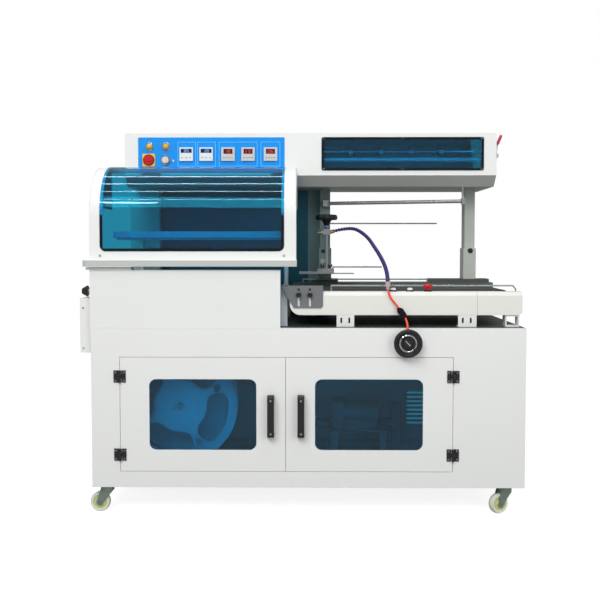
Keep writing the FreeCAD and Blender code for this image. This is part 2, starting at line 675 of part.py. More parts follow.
def handwheel():
    """Turned handwheel with a ring groove, a hub, a shaft and a revolving grip off centre."""
    body = new_body("handwheel")
    profile = new_sketch(body, "crank_profile", "YZ_Plane")
    rad, shaft = value("dims.crank_rad"), value("dims.crank_shaft")
    outline(profile, (20, 0), [
        ((-35, 0),), ((-35, 17),), ((-33, 19),), ((-29, 19),), ((-29, 26),), ((-31, 30),),
        ((-34, 38),), ((-40.5, 46), (-34, rad),), ((-27, 46), (-25, 36),), ((-21, 30),),
        ((-21, 15),), ((-6.4, 15),), ((-6.4, shaft),), ((20, shaft),), ((20, 0),)])
    revolve(body, profile)
    grip = new_sketch(body, "crank_grip", "XZ_Plane", 32)
    circle(grip, 24, -24, 7)
    pad(body, grip, "dims.cab_front - 32 - dims.crank_tip - 1")
    cap = new_sketch(body, "crank_cap", "XZ_Plane", 60)
    circle(cap, 24, -24, 9)
    pad(body, cap, "dims.cab_front - 60 - dims.crank_tip")
    locate(body, "dims.crank_x", "dims.cab_front", "dims.crank_z")


# ---------------------------------------------------------------- seal section

def seal_section():
    """Folded cover in front of the seal chamber, its left end wall and the chamber's back sheet."""
    left, right, top = "dims.cover_left", "dims.cover_right", "dims.cover_top"
    front = "dims.cab_front"
    low = "dims.cab_top"
    cover = box("cover_front", (left, right), (front, f"{front} + dims.skin"), (low, top))
    rim = box("cover_rim", (left, right), (front, f"{front} + 22"), (f"{top} - dims.skin", top))
    jamb = box("cover_jamb", (f"{right} - dims.skin", right), (front, f"{front} + 40"), (low, top))
    end_low = box("cover_end_low", (left, f"{left} + dims.skin"), (front, "dims.post_back"), (low, 812))
    end_high = box("cover_end_high", (left, f"{left} + dims.skin"), (front, -225), (low, top))
    ledge = box("cover_ledge", (-796, -629), (f"{front} - 3", f"{front} + 45"), (top, f"{top} + 10"))
    sheet = box("chamber_back", ("dims.box_left - 28", 120), ("dims.post_back", "dims.post_back + 2"),
                (low, "dims.box_low"))
    keep(group("seal_section", fuse("cover", cover, rim, jamb, end_low, end_high, ledge), sheet),
         "seal_section")


def side_box():
    """Shallow electrical side box on the left wall, open towards the wall."""
    shell = box("side_shell", ("dims.side_left", "dims.cover_left"), ("dims.side_front", "dims.side_back"),
                ("dims.side_low", "dims.side_top"))
    hollow = box("side_hollow", ("dims.side_left + dims.side_skin", "dims.cover_left"),
                 ("dims.side_front + dims.side_skin", "dims.side_back - dims.side_skin"),
                 ("dims.side_low + dims.side_skin", "dims.side_top - dims.side_skin"))
    keep(cut("side_box_walls", shell, hollow), "side_box")


# ---------------------------------------------------------------- belts

def belt(node, left, right, front, back, bed_front, bed_back):
    """A flat belt loop on two drums, with the slider bed inside it; the drums turn together."""
    outer = "dims.drum_rad + dims.run_gap + dims.belt_thick"
    inner = "dims.drum_rad + dims.run_gap"
    axis_z = f"dims.belt_top - ({outer})"
    axis_a, axis_b = f"{left} + {outer}", f"{right} - ({outer})"
    body = new_body(f"{node}_belt")
    z_top, z_axis = value("dims.belt_top"), value(axis_z)
    a, b = value(axis_a), value(axis_b)
    band = new_sketch(body, f"{node}_band", "XZ_Plane", f"-({back})")
    for size in (value(outer), value(inner)):
        outline(band, (a, z_axis - size), [
            ((b, z_axis - size),), ((b + size, z_axis), (b, z_axis + size)),
            ((a, z_axis + size),), ((a - size, z_axis), (a, z_axis - size))])
    pad(body, band, f"({back}) - ({front})")
    for end, x in (("left", axis_a), ("right", axis_b)):
        drum = new_body(f"{node}_drum_{end}")
        profile = new_sketch(drum, f"{node}_drum_{end}_profile", "YZ_Plane")
        y0, y1 = value(front) + 3, value(back) - 3
        r = value("dims.drum_rad")
        j0, j1 = value(bed_front) - 8, value(bed_back) + 8
        crown = 1.5
        outline(profile, (j0, 0), [
            ((j1, 0),), ((j1, 6),), ((y1, 6),), ((y1, r - crown),),
            (((y0 + y1) / 2, r), (y0, r - crown)), ((y0, 6),), ((j0, 6),), ((j0, 0),)])
        revolve(drum, profile)
        locate(drum, x, 0, axis_z)
    return axis_a, axis_b, axis_z


def infeed():
    front, back = "dims.in_front", "dims.in_back"
    bed_front, bed_back = "dims.beam_back", "dims.rear_front"
    a, b, z = belt("infeed", "dims.in_left", "dims.in_right", front, back, bed_front, bed_back)
    under = "dims.belt_top - dims.belt_thick"
    # front beam: a folded channel, open below, with a round lower corner and a bevelled top edge
    beam = new_body("infeed_front_beam")
    x0, x1 = value("dims.beam_left"), value("dims.beam_right")
    low, high = value("dims.beam_low"), value("dims.beam_high")
    rnd, bev = value("dims.beam_round"), value("dims.beam_bevel")
    y0, y1 = value("dims.beam_front"), value("dims.beam_back")
    slant = rnd * (1 - math.sqrt(0.5))
    face = new_sketch(beam, "beam_face", "XZ_Plane", "-dims.beam_back")
    outline(face, (x0, high), [
        ((x0, low + rnd),), ((x0 + slant, low + slant), (x0 + rnd, low)), ((x1 - 12, low),),
        ((x1, low + 12),), ((x1, high),), ((x0, high),)])
    pad(beam, face, "dims.beam_back - dims.beam_front")
    corner = new_sketch(beam, "beam_corner", "YZ_Plane", x1 + 1)
    outline(corner, (y0 - 1, high - bev), [
        ((y0, high - bev),), ((y0 + bev * 0.85, high),), ((y0 + bev * 0.85, high + 1),),
        ((y0 - 1, high + 1),), ((y0 - 1, high - bev),)])
    pocket(beam, corner, x1 - x0 + 2)
    channel = new_sketch(beam, "beam_channel", "YZ_Plane", x1 - 3)
    outline(channel, (y0 + 3, low - 1), [
        ((y1 - 3, low - 1),), ((y1 - 3, high - 3),), ((y0 + 3 + bev * 0.85, high - 3),),
        ((y0 + 3, high - bev - 2),), ((y0 + 3, low - 1),)])
    pocket(beam, channel, x1 - x0 - 6 - rnd)
    journals = new_sketch(beam, "beam_journals", "XZ_Plane", "-(dims.beam_back - 12)")
    for x in (a, b):
        circle(journals, x, z, 6.3)
    pocket(beam, journals, 14)

    # rear beam and slider bed
    rear = box("rear_box", ("dims.beam_left", "dims.beam_right"), ("dims.rear_front", "dims.post_back"),
               ("dims.beam_low", "dims.rear_high"))
    hollow = box("rear_hollow", ("dims.beam_left + 3", "dims.beam_right - 3"),
                 ("dims.rear_front + 3", "dims.post_back - 3"), ("dims.beam_low - 1", "dims.rear_high - 3"))
    bed = box("bed_top", (f"{a} + 26", f"{b} - 26"), (bed_front, bed_back), (f"{under} - 30", under))
    bed_gap = box("bed_gap", (f"{a} + 20", f"{b} - 20"), (f"{bed_front} + 24", f"{bed_back} - 24"),
                  (f"{under} - 31", f"{under} - 3"))
    ports = [rod(f"rear_port_{i}", "y", (x, z), 6.3, (f"{bed_back} - 1", f"{bed_back} + 12"))
             for i, x in enumerate((a, b))]
    keep(cut("infeed_bed_frame", fuse("bed_joined", cut("rear_shell", rear, hollow),
                                      cut("bed_plate", bed, bed_gap)), *ports), "infeed_bed")


def outfeed():
    front, back = "dims.out_front", "dims.out_back"
    bed_front, bed_back = f"{front} - 10", f"{back} + 10"
    a, b, z = belt("output", "dims.out_left", "dims.out_right", front, back, bed_front, bed_back)
    under = "dims.belt_top - dims.belt_thick"
    bed = box("out_bed_top", (f"{a} + 26", f"{b} - 26"), (bed_front, bed_back), (f"{under} - 30", under))
    gap = box("out_bed_gap", (f"{a} + 20", f"{b} - 20"), (front, back), (f"{under} - 31", f"{under} - 3"))
    sides = [box(f"out_side_{i}", ("dims.out_left", "dims.out_right"), (y0, y1),
                 ("dims.cab_top", under))
             for i, (y0, y1) in enumerate(((f"{bed_front} - 4", bed_front), (bed_back, f"{bed_back} + 4")))]
    ports = [rod(f"out_port_{i}", "y", (x, z), 6.3, (f"{bed_front} - 12", f"{bed_back} + 12"))
             for i, x in enumerate((a, b))]
    keep(cut("output_bed_frame", fuse("out_joined", cut("out_plate", bed, gap), *sides), *ports),
         "output_bed")


# ---------------------------------------------------------------- jaws

def jaws():
    """L-shaped lower jaw with its silicone pads, and the upper jaw that comes down on it."""
    left, right = "dims.jaw_left", "dims.jaw_right"
    front, deep, side = "dims.jaw_front", "dims.jaw_deep", "dims.jaw_side"
    pad_z = ("dims.seal_low - 6", "dims.seal_low")
    bar_z = ("dims.seal_low - 40", "dims.seal_low - 6")
    back = "dims.out_back + 12"
    bars = fuse("lower_bars",
                box("lower_long", (left, right), (front, f"{front} + {deep}"), bar_z),
                box("lower_cross", (f"{right} - {side}", right), (front, back), bar_z),
                *[box(f"lower_foot_{i}", (x, x2), (front, f"{front} + {deep}"),
                      ("dims.cab_top", "dims.seal_low - 40"))
                  for i, (x, x2) in enumerate(((left, f"{left} + 40"), (f"{right} - {side}", right)))],
                box("lower_foot_back", (f"{right} - {side}", right), (f"{back} - 30", back),
                    ("dims.cab_top", "dims.seal_low - 40")))
    pads = fuse("lower_pads",
                box("pad_long", (f"{left} + 6", f"{right} - 8"), (f"{front} + 8", f"{front} + {deep} - 8"), pad_z),
                box("pad_cross", (f"{right} - {side} + 10", f"{right} - 10"), (f"{front} + 8", f"{back} - 6"), pad_z))
    keep(group("lower_jaw", bars, pads), "lower_jaw")

    top_z = ("dims.seal_rest", "dims.seal_rest + dims.jaw_high")
    rear = "dims.column_y + 18"
    arms = [box("upper_long", (left, right), (front, f"{front} + {deep}"), top_z),
            box("upper_cross", (f"{right} - {side}", right), (front, rear), top_z),
            box("upper_left", (left, f"{left} + {side}"), (front, rear), top_z)]
    blade = "dims.seal_rest - 8"
    arms += [box("blade_long", (f"{left} + 10", f"{right} - 12"), (f"{front} + 12", f"{front} + 18"),
                 (blade, "dims.seal_rest")),
             box("blade_cross", (f"{right} - 21", f"{right} - 14"), (f"{front} + 12", f"{back} - 10"),
                 (blade, "dims.seal_rest"))]
    arms += [rod(f"column_{name}", "z", (x, "dims.column_y"), "dims.column_rad",
                 ("dims.seal_low - 110", "dims.seal_rest")) for name, x in COLUMNS.items()]
    keep(fuse("upper_frame", *arms), "upper_jaw")

    tubes = []
    for name, x in COLUMNS.items():
        at = (x, "dims.column_y")
        tube = rod(f"cylinder_{name}", "z", at, "dims.cylinder_rad", ("dims.cylinder_low", "dims.cylinder_top"))
        bore = rod(f"cylinder_bore_{name}", "z", at, "dims.column_rad + 0.05",
                   ("dims.cylinder_low + 8", "dims.cylinder_top + 1"))
        tubes.append(cut(f"jaw_cylinder_{name}", tube, bore))
    keep(group("jaw_cylinders", *tubes), "jaw_cylinders")


# ---------------------------------------------------------------- hood

def hood_profile(inset, low, back):
    """Front, bend and top of the hood as a closed profile, drawn `inset` inside its outer skin."""
    front = value("dims.hood_front") + inset
    top = value("dims.hood_top") - inset
    bend = value("dims.hood_bend") - inset
    knee = bend * (1 - math.sqrt(0.5))
    return (front, low), [
        ((front, top - bend),), ((front + knee, top - knee), (front + bend, top)), ((back, top),)]


def hood():
    """Hood frame with a window opening wrapped over its bend, and the tinted sheet on it."""
    skin, sheet = value("dims.skin"), 3
    low, back = value("dims.hood_low"), value("dims.hood_back")
    body = new_body("hood_frame")
    side = new_sketch(body, "hood_side", "YZ_Plane", "dims.hood_left")
    start, steps = hood_profile(0, low, back)
    outline(side, start, steps + [((back, low),), (start,)])
    pad(body, side, "dims.hood_right - dims.hood_left")
    hollow = new_sketch(body, "hood_hollow", "YZ_Plane", "dims.hood_right - dims.skin")
    start, steps = hood_profile(skin, low - 1, back + 1)
    outline(hollow, start, steps + [((back + 1, low - 1),), (start,)])
    pocket(body, hollow, "dims.hood_right - dims.hood_left - 2 * dims.skin")
    # both end plates are cut back where the packs go in and out
    notch = new_sketch(body, "hood_notch", "YZ_Plane", "dims.hood_right + 1")
    outline(notch, (-225, low - 1), [
        ((back + 1, low - 1),), ((back + 1, 1150),), ((-165, 1150),),
        ((-207, 1132), (-225, 1090),), ((-225, low - 1),)])
    pocket(body, notch, "dims.hood_right - dims.hood_left + 2")
    glass_low, glass_back = value("dims.glass_low"), value("dims.glass_back")
    light = new_sketch(body, "hood_light", "YZ_Plane", "dims.glass_right - 10")
    start, steps = hood_profile(-1, glass_low + 10, glass_back - 10)
    inner_start, inner = hood_profile(skin + 1, glass_low + 10, glass_back - 10)
    knee_mid, knee_end = inner[1]
    outline(light, start, steps + [(inner[2][0],), (knee_end,), (knee_mid, inner[0][0]),
                                   (inner_start,), (start,)])
    pocket(body, light, "dims.glass_right - dims.glass_left - 20")
    lip = new_sketch(body, "hood_lip", "XY_Plane", "dims.lip_low")
    x0, x1 = value("dims.lip_left"), value("dims.lip_right")
    y0, y1 = value("dims.lip_front"), value("dims.hood_front")
    outline(lip, (x0, y0 + 8), [
        ((x0 + 14, y0),), ((x1, y0),), ((x1, y1 + 3),), ((x0 + 21, y1 + 3),), ((x0, y0 + 8),)])
    pad(body, lip, "dims.lip_high - dims.lip_low + 2")
    under = new_sketch(body, "hood_lip_under", "XY_Plane", "dims.lip_high - 3")
    rectangle(under, (x0 + 24, x1 - 3), (y0 + 3, y1 + 1))
    pocket(body, under, 30)
    doc.recompute()

    pin_y, pin_z = "dims.hood_pin_y", "dims.hood_pin_z"
    barrels = []
    for i, x in enumerate((-640, -110)):
        knuckle = rod(f"hood_barrel_{i}", "x", (pin_y, pin_z), 4.5, (x, x + 40))
        tongue = box(f"hood_tongue_{i}", (x, x + 40), ("dims.hood_back - 4", pin_y),
                     ("dims.hood_top - dims.skin", "dims.hood_top"))
        bore = rod(f"hood_bore_{i}", "x", (pin_y, pin_z), 2.05, (x - 1, x + 41))
        barrels.append(cut(f"hood_knuckle_{i}", fuse(f"hood_hinge_{i}", knuckle, tongue), bore))
    del nodes["hood_frame"]
    body.Label = "hood_shell"
    keep(fuse("hood_whole", body, *barrels), "hood_frame")

    glass = new_body("hood_window")
    bent = new_sketch(glass, "glass_bent", "YZ_Plane", "dims.glass_left")
    start, steps = hood_profile(-sheet, glass_low, glass_back)
    inner_start, inner = hood_profile(0, glass_low, glass_back)
    knee_mid, knee_end = inner[1]
    outline(bent, start, steps + [(inner[2][0],), (knee_end,), (knee_mid, inner[0][0]),
                                  (inner_start,), (start,)])
    pad(glass, bent, "dims.glass_right - dims.glass_left")
    soften(glass, 22, lambda edge: along(edge, (0, 1, 0)) and edge.CenterOfMass.z < glass_low + 1)


# ---------------------------------------------------------------- control and film box

def upper_box():
    """Long box with a sloping chin: controls at the left, an open film bay at the right."""
    skin = value("dims.skin")
    front, back = value("dims.box_front"), value("dims.box_back")
    low, chin, top = value("dims.box_low"), value("dims.box_chin"), value("dims.box_top")
    body = new_body("upper_box")
    ring = new_sketch(body, "box_ring", "YZ_Plane", "dims.box_left")
    outline(ring, (front, chin), [
        ((front, top),), ((back, top),), ((back, low),), ((front + 45, low),), ((front, chin),)])
    pad(body, ring, "dims.box_right - dims.box_left")
    for name, at, length in (
            ("film_bay", "dims.box_right - dims.skin", "dims.box_right - dims.bay_left - 2 * dims.skin"),
            ("control_bay", "dims.bay_left", "dims.bay_left - dims.box_left - dims.skin")):
        bay = new_sketch(body, name, "YZ_Plane", at)
        outline(bay, (front + skin, chin + 1), [
            ((front + skin, top - skin),), ((back - skin, top - skin),), ((back - skin, low + skin),),
            ((front + 46, low + skin),), ((front + skin, chin + 1),)])
        pocket(body, bay, length)
    window = new_sketch(body, "box_window", "XZ_Plane", "-(dims.box_front - 1)")
    rounded(window, ("dims.film_a + dims.film_lap", "dims.film_b - dims.film_lap"),
            ("dims.film_low + dims.film_lap", "dims.film_high - dims.film_lap"), 5)
    pocket(body, window, "dims.skin + 2")
    slit = new_sketch(body, "film_slit", "XY_Plane", "dims.box_low + dims.skin + 1")
    rounded(slit, (110, 710), (126, 150), 6)
    pocket(body, slit, "dims.skin + 2")
    journal = new_sketch(body, "box_journal", "YZ_Plane", "dims.box_right + 1")
    circle(journal, "dims.perf_y", "dims.perf_z", 5.05)
    pocket(body, journal, "dims.box_right - dims.bay_left + 4")

    lugs = []
    for i, x in enumerate((-640, -110)):
        for k, (a, b) in enumerate(((x - 18, x - 0.5), (x + 40.5, x + 58))):
            ear = rod(f"lug_{i}_{k}", "x", ("dims.hood_pin_y", "dims.hood_pin_z"), 4.5, (a, b))
            arm = box(f"lug_arm_{i}_{k}", (a, b), ("dims.hood_pin_y", "dims.box_front"),
                      ("dims.hood_pin_z - 4.5", "dims.hood_pin_z + 4.5"))
            lugs += [ear, arm]
        lugs.append(rod(f"lug_pin_{i}", "x", ("dims.hood_pin_y", "dims.hood_pin_z"), 2,
                        (x - 18, x + 58)))
    guide_bar = rod("film_guide_bar", "x", (92, 1362), 9,
                    ("dims.bay_left", "dims.box_right - dims.skin"))
    del nodes["upper_box"]
    body.Label = "upper_box_shell"
    keep(fuse("upper_box_whole", body, guide_bar, *lugs), "upper_box")

    pane = new_body("film_window")
    sheet = new_sketch(pane, "film_sheet", "XZ_Plane", "-dims.box_front")
    rounded(sheet, ("dims.film_a", "dims.film_b"), ("dims.film_low", "dims.film_high"), 8)
    pad(pane, sheet, 4)


def control_panel():
    """Blue overlay sheet, five square instruments, two lamps and two switch bezels."""
    sheet = new_body("control_overlay")
    face = new_sketch(sheet, "overlay_face", "XZ_Plane", "-dims.box_front")
    rounded(face, ("dims.panel_a", "dims.panel_b"), ("dims.panel_low", "dims.panel_high"), 4)
    pad(sheet, face, 1.5)
    skin = "dims.box_front - 1.5"
    half = "dims.gauge_side / 2"
    items = []
    for i, x in enumerate((-476, -394.5, -305, -223, -131.5)):
        bezel = box(f"gauge_{i}", (f"{x} - {half}", f"{x} + {half}"), (f"{skin} - 8", skin),
                    (f"dims.gauge_z - {half}", f"dims.gauge_z + {half}"))
        screen = box(f"gauge_screen_{i}", (x - 22, x + 22), (f"{skin} - 9", f"{skin} - 6.5"), (1373, 1398))
        items.append(cut(f"gauge_body_{i}", bezel, screen))
    for i, x in enumerate(("dims.switch_x + 2.5", "dims.switch_x + 70")):
        base = rod(f"lamp_base_{i}", "y", (x, "dims.lamp_z"), 15, (f"{skin} - 4", skin))
        dome = doc.addObject("Part::Sphere", f"lamp_dome_{i}")
        dome.Radius = 12
        dome.Angle1 = 0
        dome.Placement = Placement(Vector(), Rotation(Vector(1, 0, 0), 90))
        locate(dome, x, f"{skin} - 4", "dims.lamp_z")
        items.append(fuse(f"lamp_{i}", base, dome))
    square = box("main_base", ("dims.switch_x - 26", "dims.switch_x + 26"), (f"{skin} - 6", skin),
                 ("dims.switch_z - 26", "dims.switch_z + 26"))
    items.append(square)
    items.append(rod("key_base", "y", ("dims.key_x", "dims.switch_z"), 20, (f"{skin} - 5", skin)))
    keep(group("panel_instruments", *items), "panel_instruments")

    main = new_body("main_switch")
    disc = new_sketch(main, "main_disc", "XZ_Plane", "6.3")
    circle(disc, 0, 0, 20)
    pad(main, disc, 7)
    grip = new_sketch(main, "main_grip", "XZ_Plane", "13.3")
    rounded(grip, (-14, 14), (-6, 6), 4)
    pad(main, grip, 5)
    locate(main, "dims.switch_x", skin, "dims.switch_z")
    key = new_body("key_switch")
    barrel = new_sketch(key, "key_barrel", "XZ_Plane", "5.3")
    circle(barrel, 0, 0, 14)
    pad(key, barrel, 8)
    wing = new_sketch(key, "key_wing", "XZ_Plane", "13.3")
    rounded(wing, (-4, 4), (-12, 12), 3)
    pad(key, wing, 7)
    locate(key, "dims.key_x", skin, "dims.switch_z")


def film_drive():
    """Perforating shaft with four collars in the film bay, and the nip lever at the right end."""
    shaft = new_body("perforator_shaft")
    profile = new_sketch(shaft, "perf_profile", "XY_Plane")
    x0 = value("dims.bay_left + dims.skin") + 0.5
    x1 = value("dims.box_right - dims.skin") - 0.5
    rad, collar, journal = value("dims.perf_rad"), value("dims.perf_collar"), 5
    steps = [((x0 - 3, journal),), ((x0, journal),), ((x0, rad),)]
    for centre in (201, 326.5, 452, 577.5):
        steps += [((centre - 12.5, rad),), ((centre - 12.5, collar - 5),), ((centre - 9, collar),),
                  ((centre + 9, collar),), ((centre + 12.5, collar - 5),), ((centre + 12.5, rad),)]
    steps += [((x1, rad),), ((x1, journal),), ((x1 + 3, journal),), ((x1 + 3, 0),), ((x0 - 3, 0),)]
    outline(profile, (x0 - 3, 0), steps)
    revolve(shaft, profile)
    locate(shaft, 0, "dims.perf_y", "dims.perf_z")

    x = value("dims.box_right")
    hub = Vector(x + 0.3, 60, 1376)
    lever = Part.makeCylinder(12, 12, hub, Vector(1, 0, 0))
    lever = lever.fuse(Part.makeCylinder(7, 5, hub + Vector(12, 0, 0), Vector(1, 0, 0)))
    root, neck, tip = (x + 7, 60, 1382), (x + 14, 60, 1424), (x + 27, 60, 1455)
    lever = lever.fuse(bar(root, neck, 3.5)).fuse(Part.makeSphere(3.5, Vector(*neck)))
    lever = lever.fuse(bar(neck, tip, 6.2)).fuse(Part.makeSphere(6.2, Vector(*tip)))
    feature("nip_lever", lever.removeSplitter())


# ---------------------------------------------------------------- posts

def posts():
    """Telescopic posts: the inner tubes carry the box, the outer sleeves stand on the frame."""
    front, back = "dims.post_front", "dims.post_back"
    tubes = []
    sleeves = []
    for name, x in (("mid", "dims.mid_post"), ("right", "dims.right_post")):
        inner = box(f"tube_{name}", (f"{x} - 22", f"{x} + 22"), (f"{front} + 5", f"{back} - 5"),
                    ("dims.sleeve_low", "dims.box_low"))
        tubes.append(inner)
        outer = box(f"sleeve_{name}", (f"{x} - 27", f"{x} + 27"), (front, back),
                    ("dims.sleeve_low", "dims.sleeve_high"))
        inside = box(f"sleeve_bore_{name}", (f"{x} - 22", f"{x} + 22"), (f"{front} + 5", f"{back} - 5"),
                     ("dims.sleeve_low - 1", "dims.sleeve_high + 1"))
        sleeves.append(cut(f"sleeve_cut_{name}", outer, inside))
    tubes.append(box("tube_left", ("dims.box_left - 28", -630), (240, back), ("dims.cab_top", "dims.box_low")))
    feet = [box("foot_right", (552, 811), (front, back), ("dims.rear_high", "dims.sleeve_low")),
            box("foot_mid", (40, 153), (front, back), ("dims.rear_high", "dims.sleeve_low"))]
    stands = [fuse(f"post_{i}", foot, sleeve)
              for i, (foot, sleeve) in enumerate(zip(feet, reversed(sleeves)))]
    keep(group("post_set", *tubes, *stands), "posts")


# ---------------------------------------------------------------- brackets and guides

def support_brackets():
    """Angles and feet that carry the infeed over the cabinet deck."""
    low, high = "dims.cab_top", "dims.beam_low"
    items = []
    for i, (x0, x1) in enumerate(((129, 195), (583, 652))):
        wall = box(f"angle_wall_{i}", (x0, x1), (-294, -290), (low, "dims.beam_low"))
        foot = box(f"angle_foot_{i}", (x0, x1), (-294, -250), (low, "dims.cab_top + 4"))
        head = box(f"angle_head_{i}", (x0, x1), (-294, -250), ("dims.beam_low - 4", high))
        slots = [box(f"angle_slot_{i}_{k}", (x0 + dx, x0 + dx + 7), (-300, -280), (714, 734))
                 for k, dx in enumerate((14, 44))]
        items.append(cut(f"angle_{i}", fuse(f"angle_joined_{i}", wall, foot, head), *slots))
    for i, (x0, x1, y0, y1) in enumerate(((0, 60, 200, 290), (400, 460, 200, 290), (700, 760, 200, 290),
                                          (760, 812, -290, -246))):
        block = box(f"foot_block_{i}", (x0, x1), (y0, y1), (low, high))
        way = box(f"foot_way_{i}", (x0 + 5, x1 - 5), (y0 - 1, y1 + 1), ("dims.cab_top + 5", "dims.beam_low - 5"))
        items.append(cut(f"foot_{i}", block, way))
    keep(group("support_brackets", *items), "support_brackets")


def slotted_bracket():
    """Adjustable plate at the infeed mouth: two slots, a folded top flange, a cut-off corner."""
    y_back = "dims.beam_front - 0.3"
    body = new_body("slotted_bracket")
    plate = new_sketch(body, "bracket_plate", "XZ_Plane", f"-({y_back})")
    x0, x1, low, high, r = -73, 78, 770, 854, 12
    outline(plate, (x0, high), [
        ((x0, high - 12),), ((x0 + 42, low),), ((x1 - r, low),),
        ((x1 - r * (1 - math.sqrt(0.5)), low + r * (1 - math.sqrt(0.5))), (x1, low + r)),
        ((x1, high),), ((x0, high),)])
    pad(body, plate, 3)
    flange = new_sketch(body, "bracket_flange", "XY_Plane", high - 3)
    rectangle(flange, (x0, x1), (f"{y_back} - 3", -274))
    pad(body, flange, 3)
    ways = new_sketch(body, "bracket_slots", "XZ_Plane", f"-({y_back} - 4)")
    for x in ("dims.slot_left", "dims.slot_right"):
        rounded(ways, (f"{x} - dims.slot_wide / 2", f"{x} + dims.slot_wide / 2"),
                ("dims.slot_low", "dims.slot_high"), 3.9)
    pocket(body, ways, 10)


def clamp_knobs():
    """Hand screws: two on the slotted bracket, one on each sleeve, two wing screws, one cone."""
    items = []
    for i, x in enumerate(("dims.slot_left", "dims.slot_right")):
        stud = rod(f"clamp_stud_{i}", "y", (x, 820), 3.5, ("dims.beam_front - 5", "dims.beam_front"))
        head = rod(f"clamp_head_{i}", "y", (x, 820), 10, ("dims.beam_front - 19", "dims.beam_front - 3.6"))
        items.append(fuse(f"clamp_{i}", stud, head))
    for i, (x, z, rad) in enumerate((("dims.right_post + 3", 982, 12), ("dims.mid_post - 8", 980, 9))):
        stud = rod(f"post_stud_{i}", "y", (x, z), 4, ("dims.post_front - 10", "dims.post_front"))
        head = rod(f"post_head_{i}", "y", (x, z), rad, ("dims.post_front - 26", "dims.post_front - 6"))
        items.append(fuse(f"post_knob_{i}", stud, head))
    for i, x in enumerate((82, 115)):
        stem = rod(f"wing_stem_{i}", "z", (x, "dims.guide_y"), 4, (905, 914))
        wing = box(f"wing_{i}", (x - 8, x + 8), ("dims.guide_y - 4", "dims.guide_y + 4"), (911, 925))
        items.append(fuse(f"wing_screw_{i}", stem, wing))
    cone = taper("cone_knob", "x", (-300, 834), (11, 21), (-822, -800))
    neck = rod("cone_neck", "x", (-300, 834), 6, (-802, "dims.cover_left"))
    items.append(fuse("cone_screw", cone, neck))
    keep(group("clamp_knobs", *items), "clamp_knobs")


def film_guide():
    """Film guide: block on an arm from the post, upright spindle, film plate, nozzle clamp."""
    x, y = "dims.guide_x", "dims.guide_y"
    block = box("guide_block", (61, 131), (75, "dims.post_front"), (895, 905))
    spindle = rod("guide_spindle", "z", (x, y), 6, (905, 1088))
    clamp = box("guide_clamp", (f"{x} - 14", f"{x} + 14"), (f"{y} - 14", f"{y} + 14"), (1050, 1074))
    plate = box("guide_plate", (-15, 215), (75, 135), (885, 888))
    web = box("guide_web", (-15, 131), (75, 135), (888, 895))
    small = box("guide_small", (74, 88), (y + " - 10", y + " + 10"), (930, 948))
    link = box("guide_link", (84, 96), (y + " - 4", y + " + 4"), (934, 942))
    keep(fuse("guide_whole", block, spindle, clamp, plate, web, small, link), "film_guide")

    knob = new_body("guide_knob")
    profile = new_sketch(knob, "guide_knob_profile", "XZ_Plane")
    outline(profile, (0, 1088.3), [
        ((11, 1088.3),), ((13, 1096),), ((20, 1110),), ((40, 1112),), ((44, 1116),),
        ((46, 1123), (43, 1130)), ((38, 1134),), ((12, 1136),), ((0, 1136),), ((0, 1088.3),)])
    revolve(knob, profile, "V_Axis")
    locate(knob, x, y, 0)


def rod_path(points, radius):
    """A bent steel rod: straight lengths with a ball at each bend."""
    shape = bar(points[0], points[1], radius)
    for start, end in zip(points[1:], points[2:]):
        shape = shape.fuse(Part.makeSphere(radius, Vector(*start))).fuse(bar(start, end, radius))
    return shape.removeSplitter()


def guide_rods():
    """Thin steel rods: film rods, side rods along the belt, and the free roller's two carriers."""
    thin = 3
    high = value("dims.belt_top") + 17
    near, foot = value("dims.in_front") - 28, value("dims.beam_high")
    rear, top = 205, value("dims.rear_high")
    y, block = value("dims.guide_y"), 905
    side = value("dims.mid_post") + 22
    rods = [
        bar((side, 250, 1101), (587, 250, 1101), thin),
        rod_path([(127.5, y, block), (127.5, y, 914), (333, y, 914)], thin),
        rod_path([(110, near, foot), (110, near, high), (798, near, high), (809, near, foot + 8),
                  (809, near, foot)], thin),
        rod_path([(0, rear, top), (0, rear, high + 6), (540, rear, high + 6), (540, rear, top)], thin),
    ]
    feature("guide_rods", Part.makeCompound(rods + roller_carriers()))


ROLLER_ENDS = ((104, 200, 1186), (652, 30, 1186))


def free_roller():
    """Slanting film roller between the middle post and an arm under the box, free to turn."""
    a, b = (Vector(*end) for end in ROLLER_ENDS)
    way = (b - a).normalize()
    feature("free_roller", Part.makeCylinder(7.5, (b - a).Length - 1, a + way * 0.5, way)
            .fuse(Part.makeCylinder(3, (b - a).Length + 7, a - way * 3.5, way)))


def roller_carriers():
    """Bearing block on the middle post and hanging arm under the box for the free roller."""
    a, b = (Vector(*end) for end in ROLLER_ENDS)
    way = (b - a).normalize()
    bore = Part.makeCylinder(3.05, (b - a).Length + 20, a - way * 10, way)
    left = Part.makeBox(26, value("dims.post_front") + 5 - 190, 26, Vector(86, 190, 1173))
    left = left.cut(Part.makeCylinder(9, 60, a, way)).cut(bore)
    right = Part.makeBox(14, 24, 26, Vector(652, 18, 1173))
    right = right.cut(Part.makeCylinder(9, 60, b, way * -1)).cut(bore)
    low = value("dims.box_low")
    arm = rod_path([(660, 34, 1190), (664, 66, low - 14), (664, 66, low)], 5)
    return [left.removeSplitter(), right.fuse(arm).removeSplitter()]


# ---------------------------------------------------------------- buttons

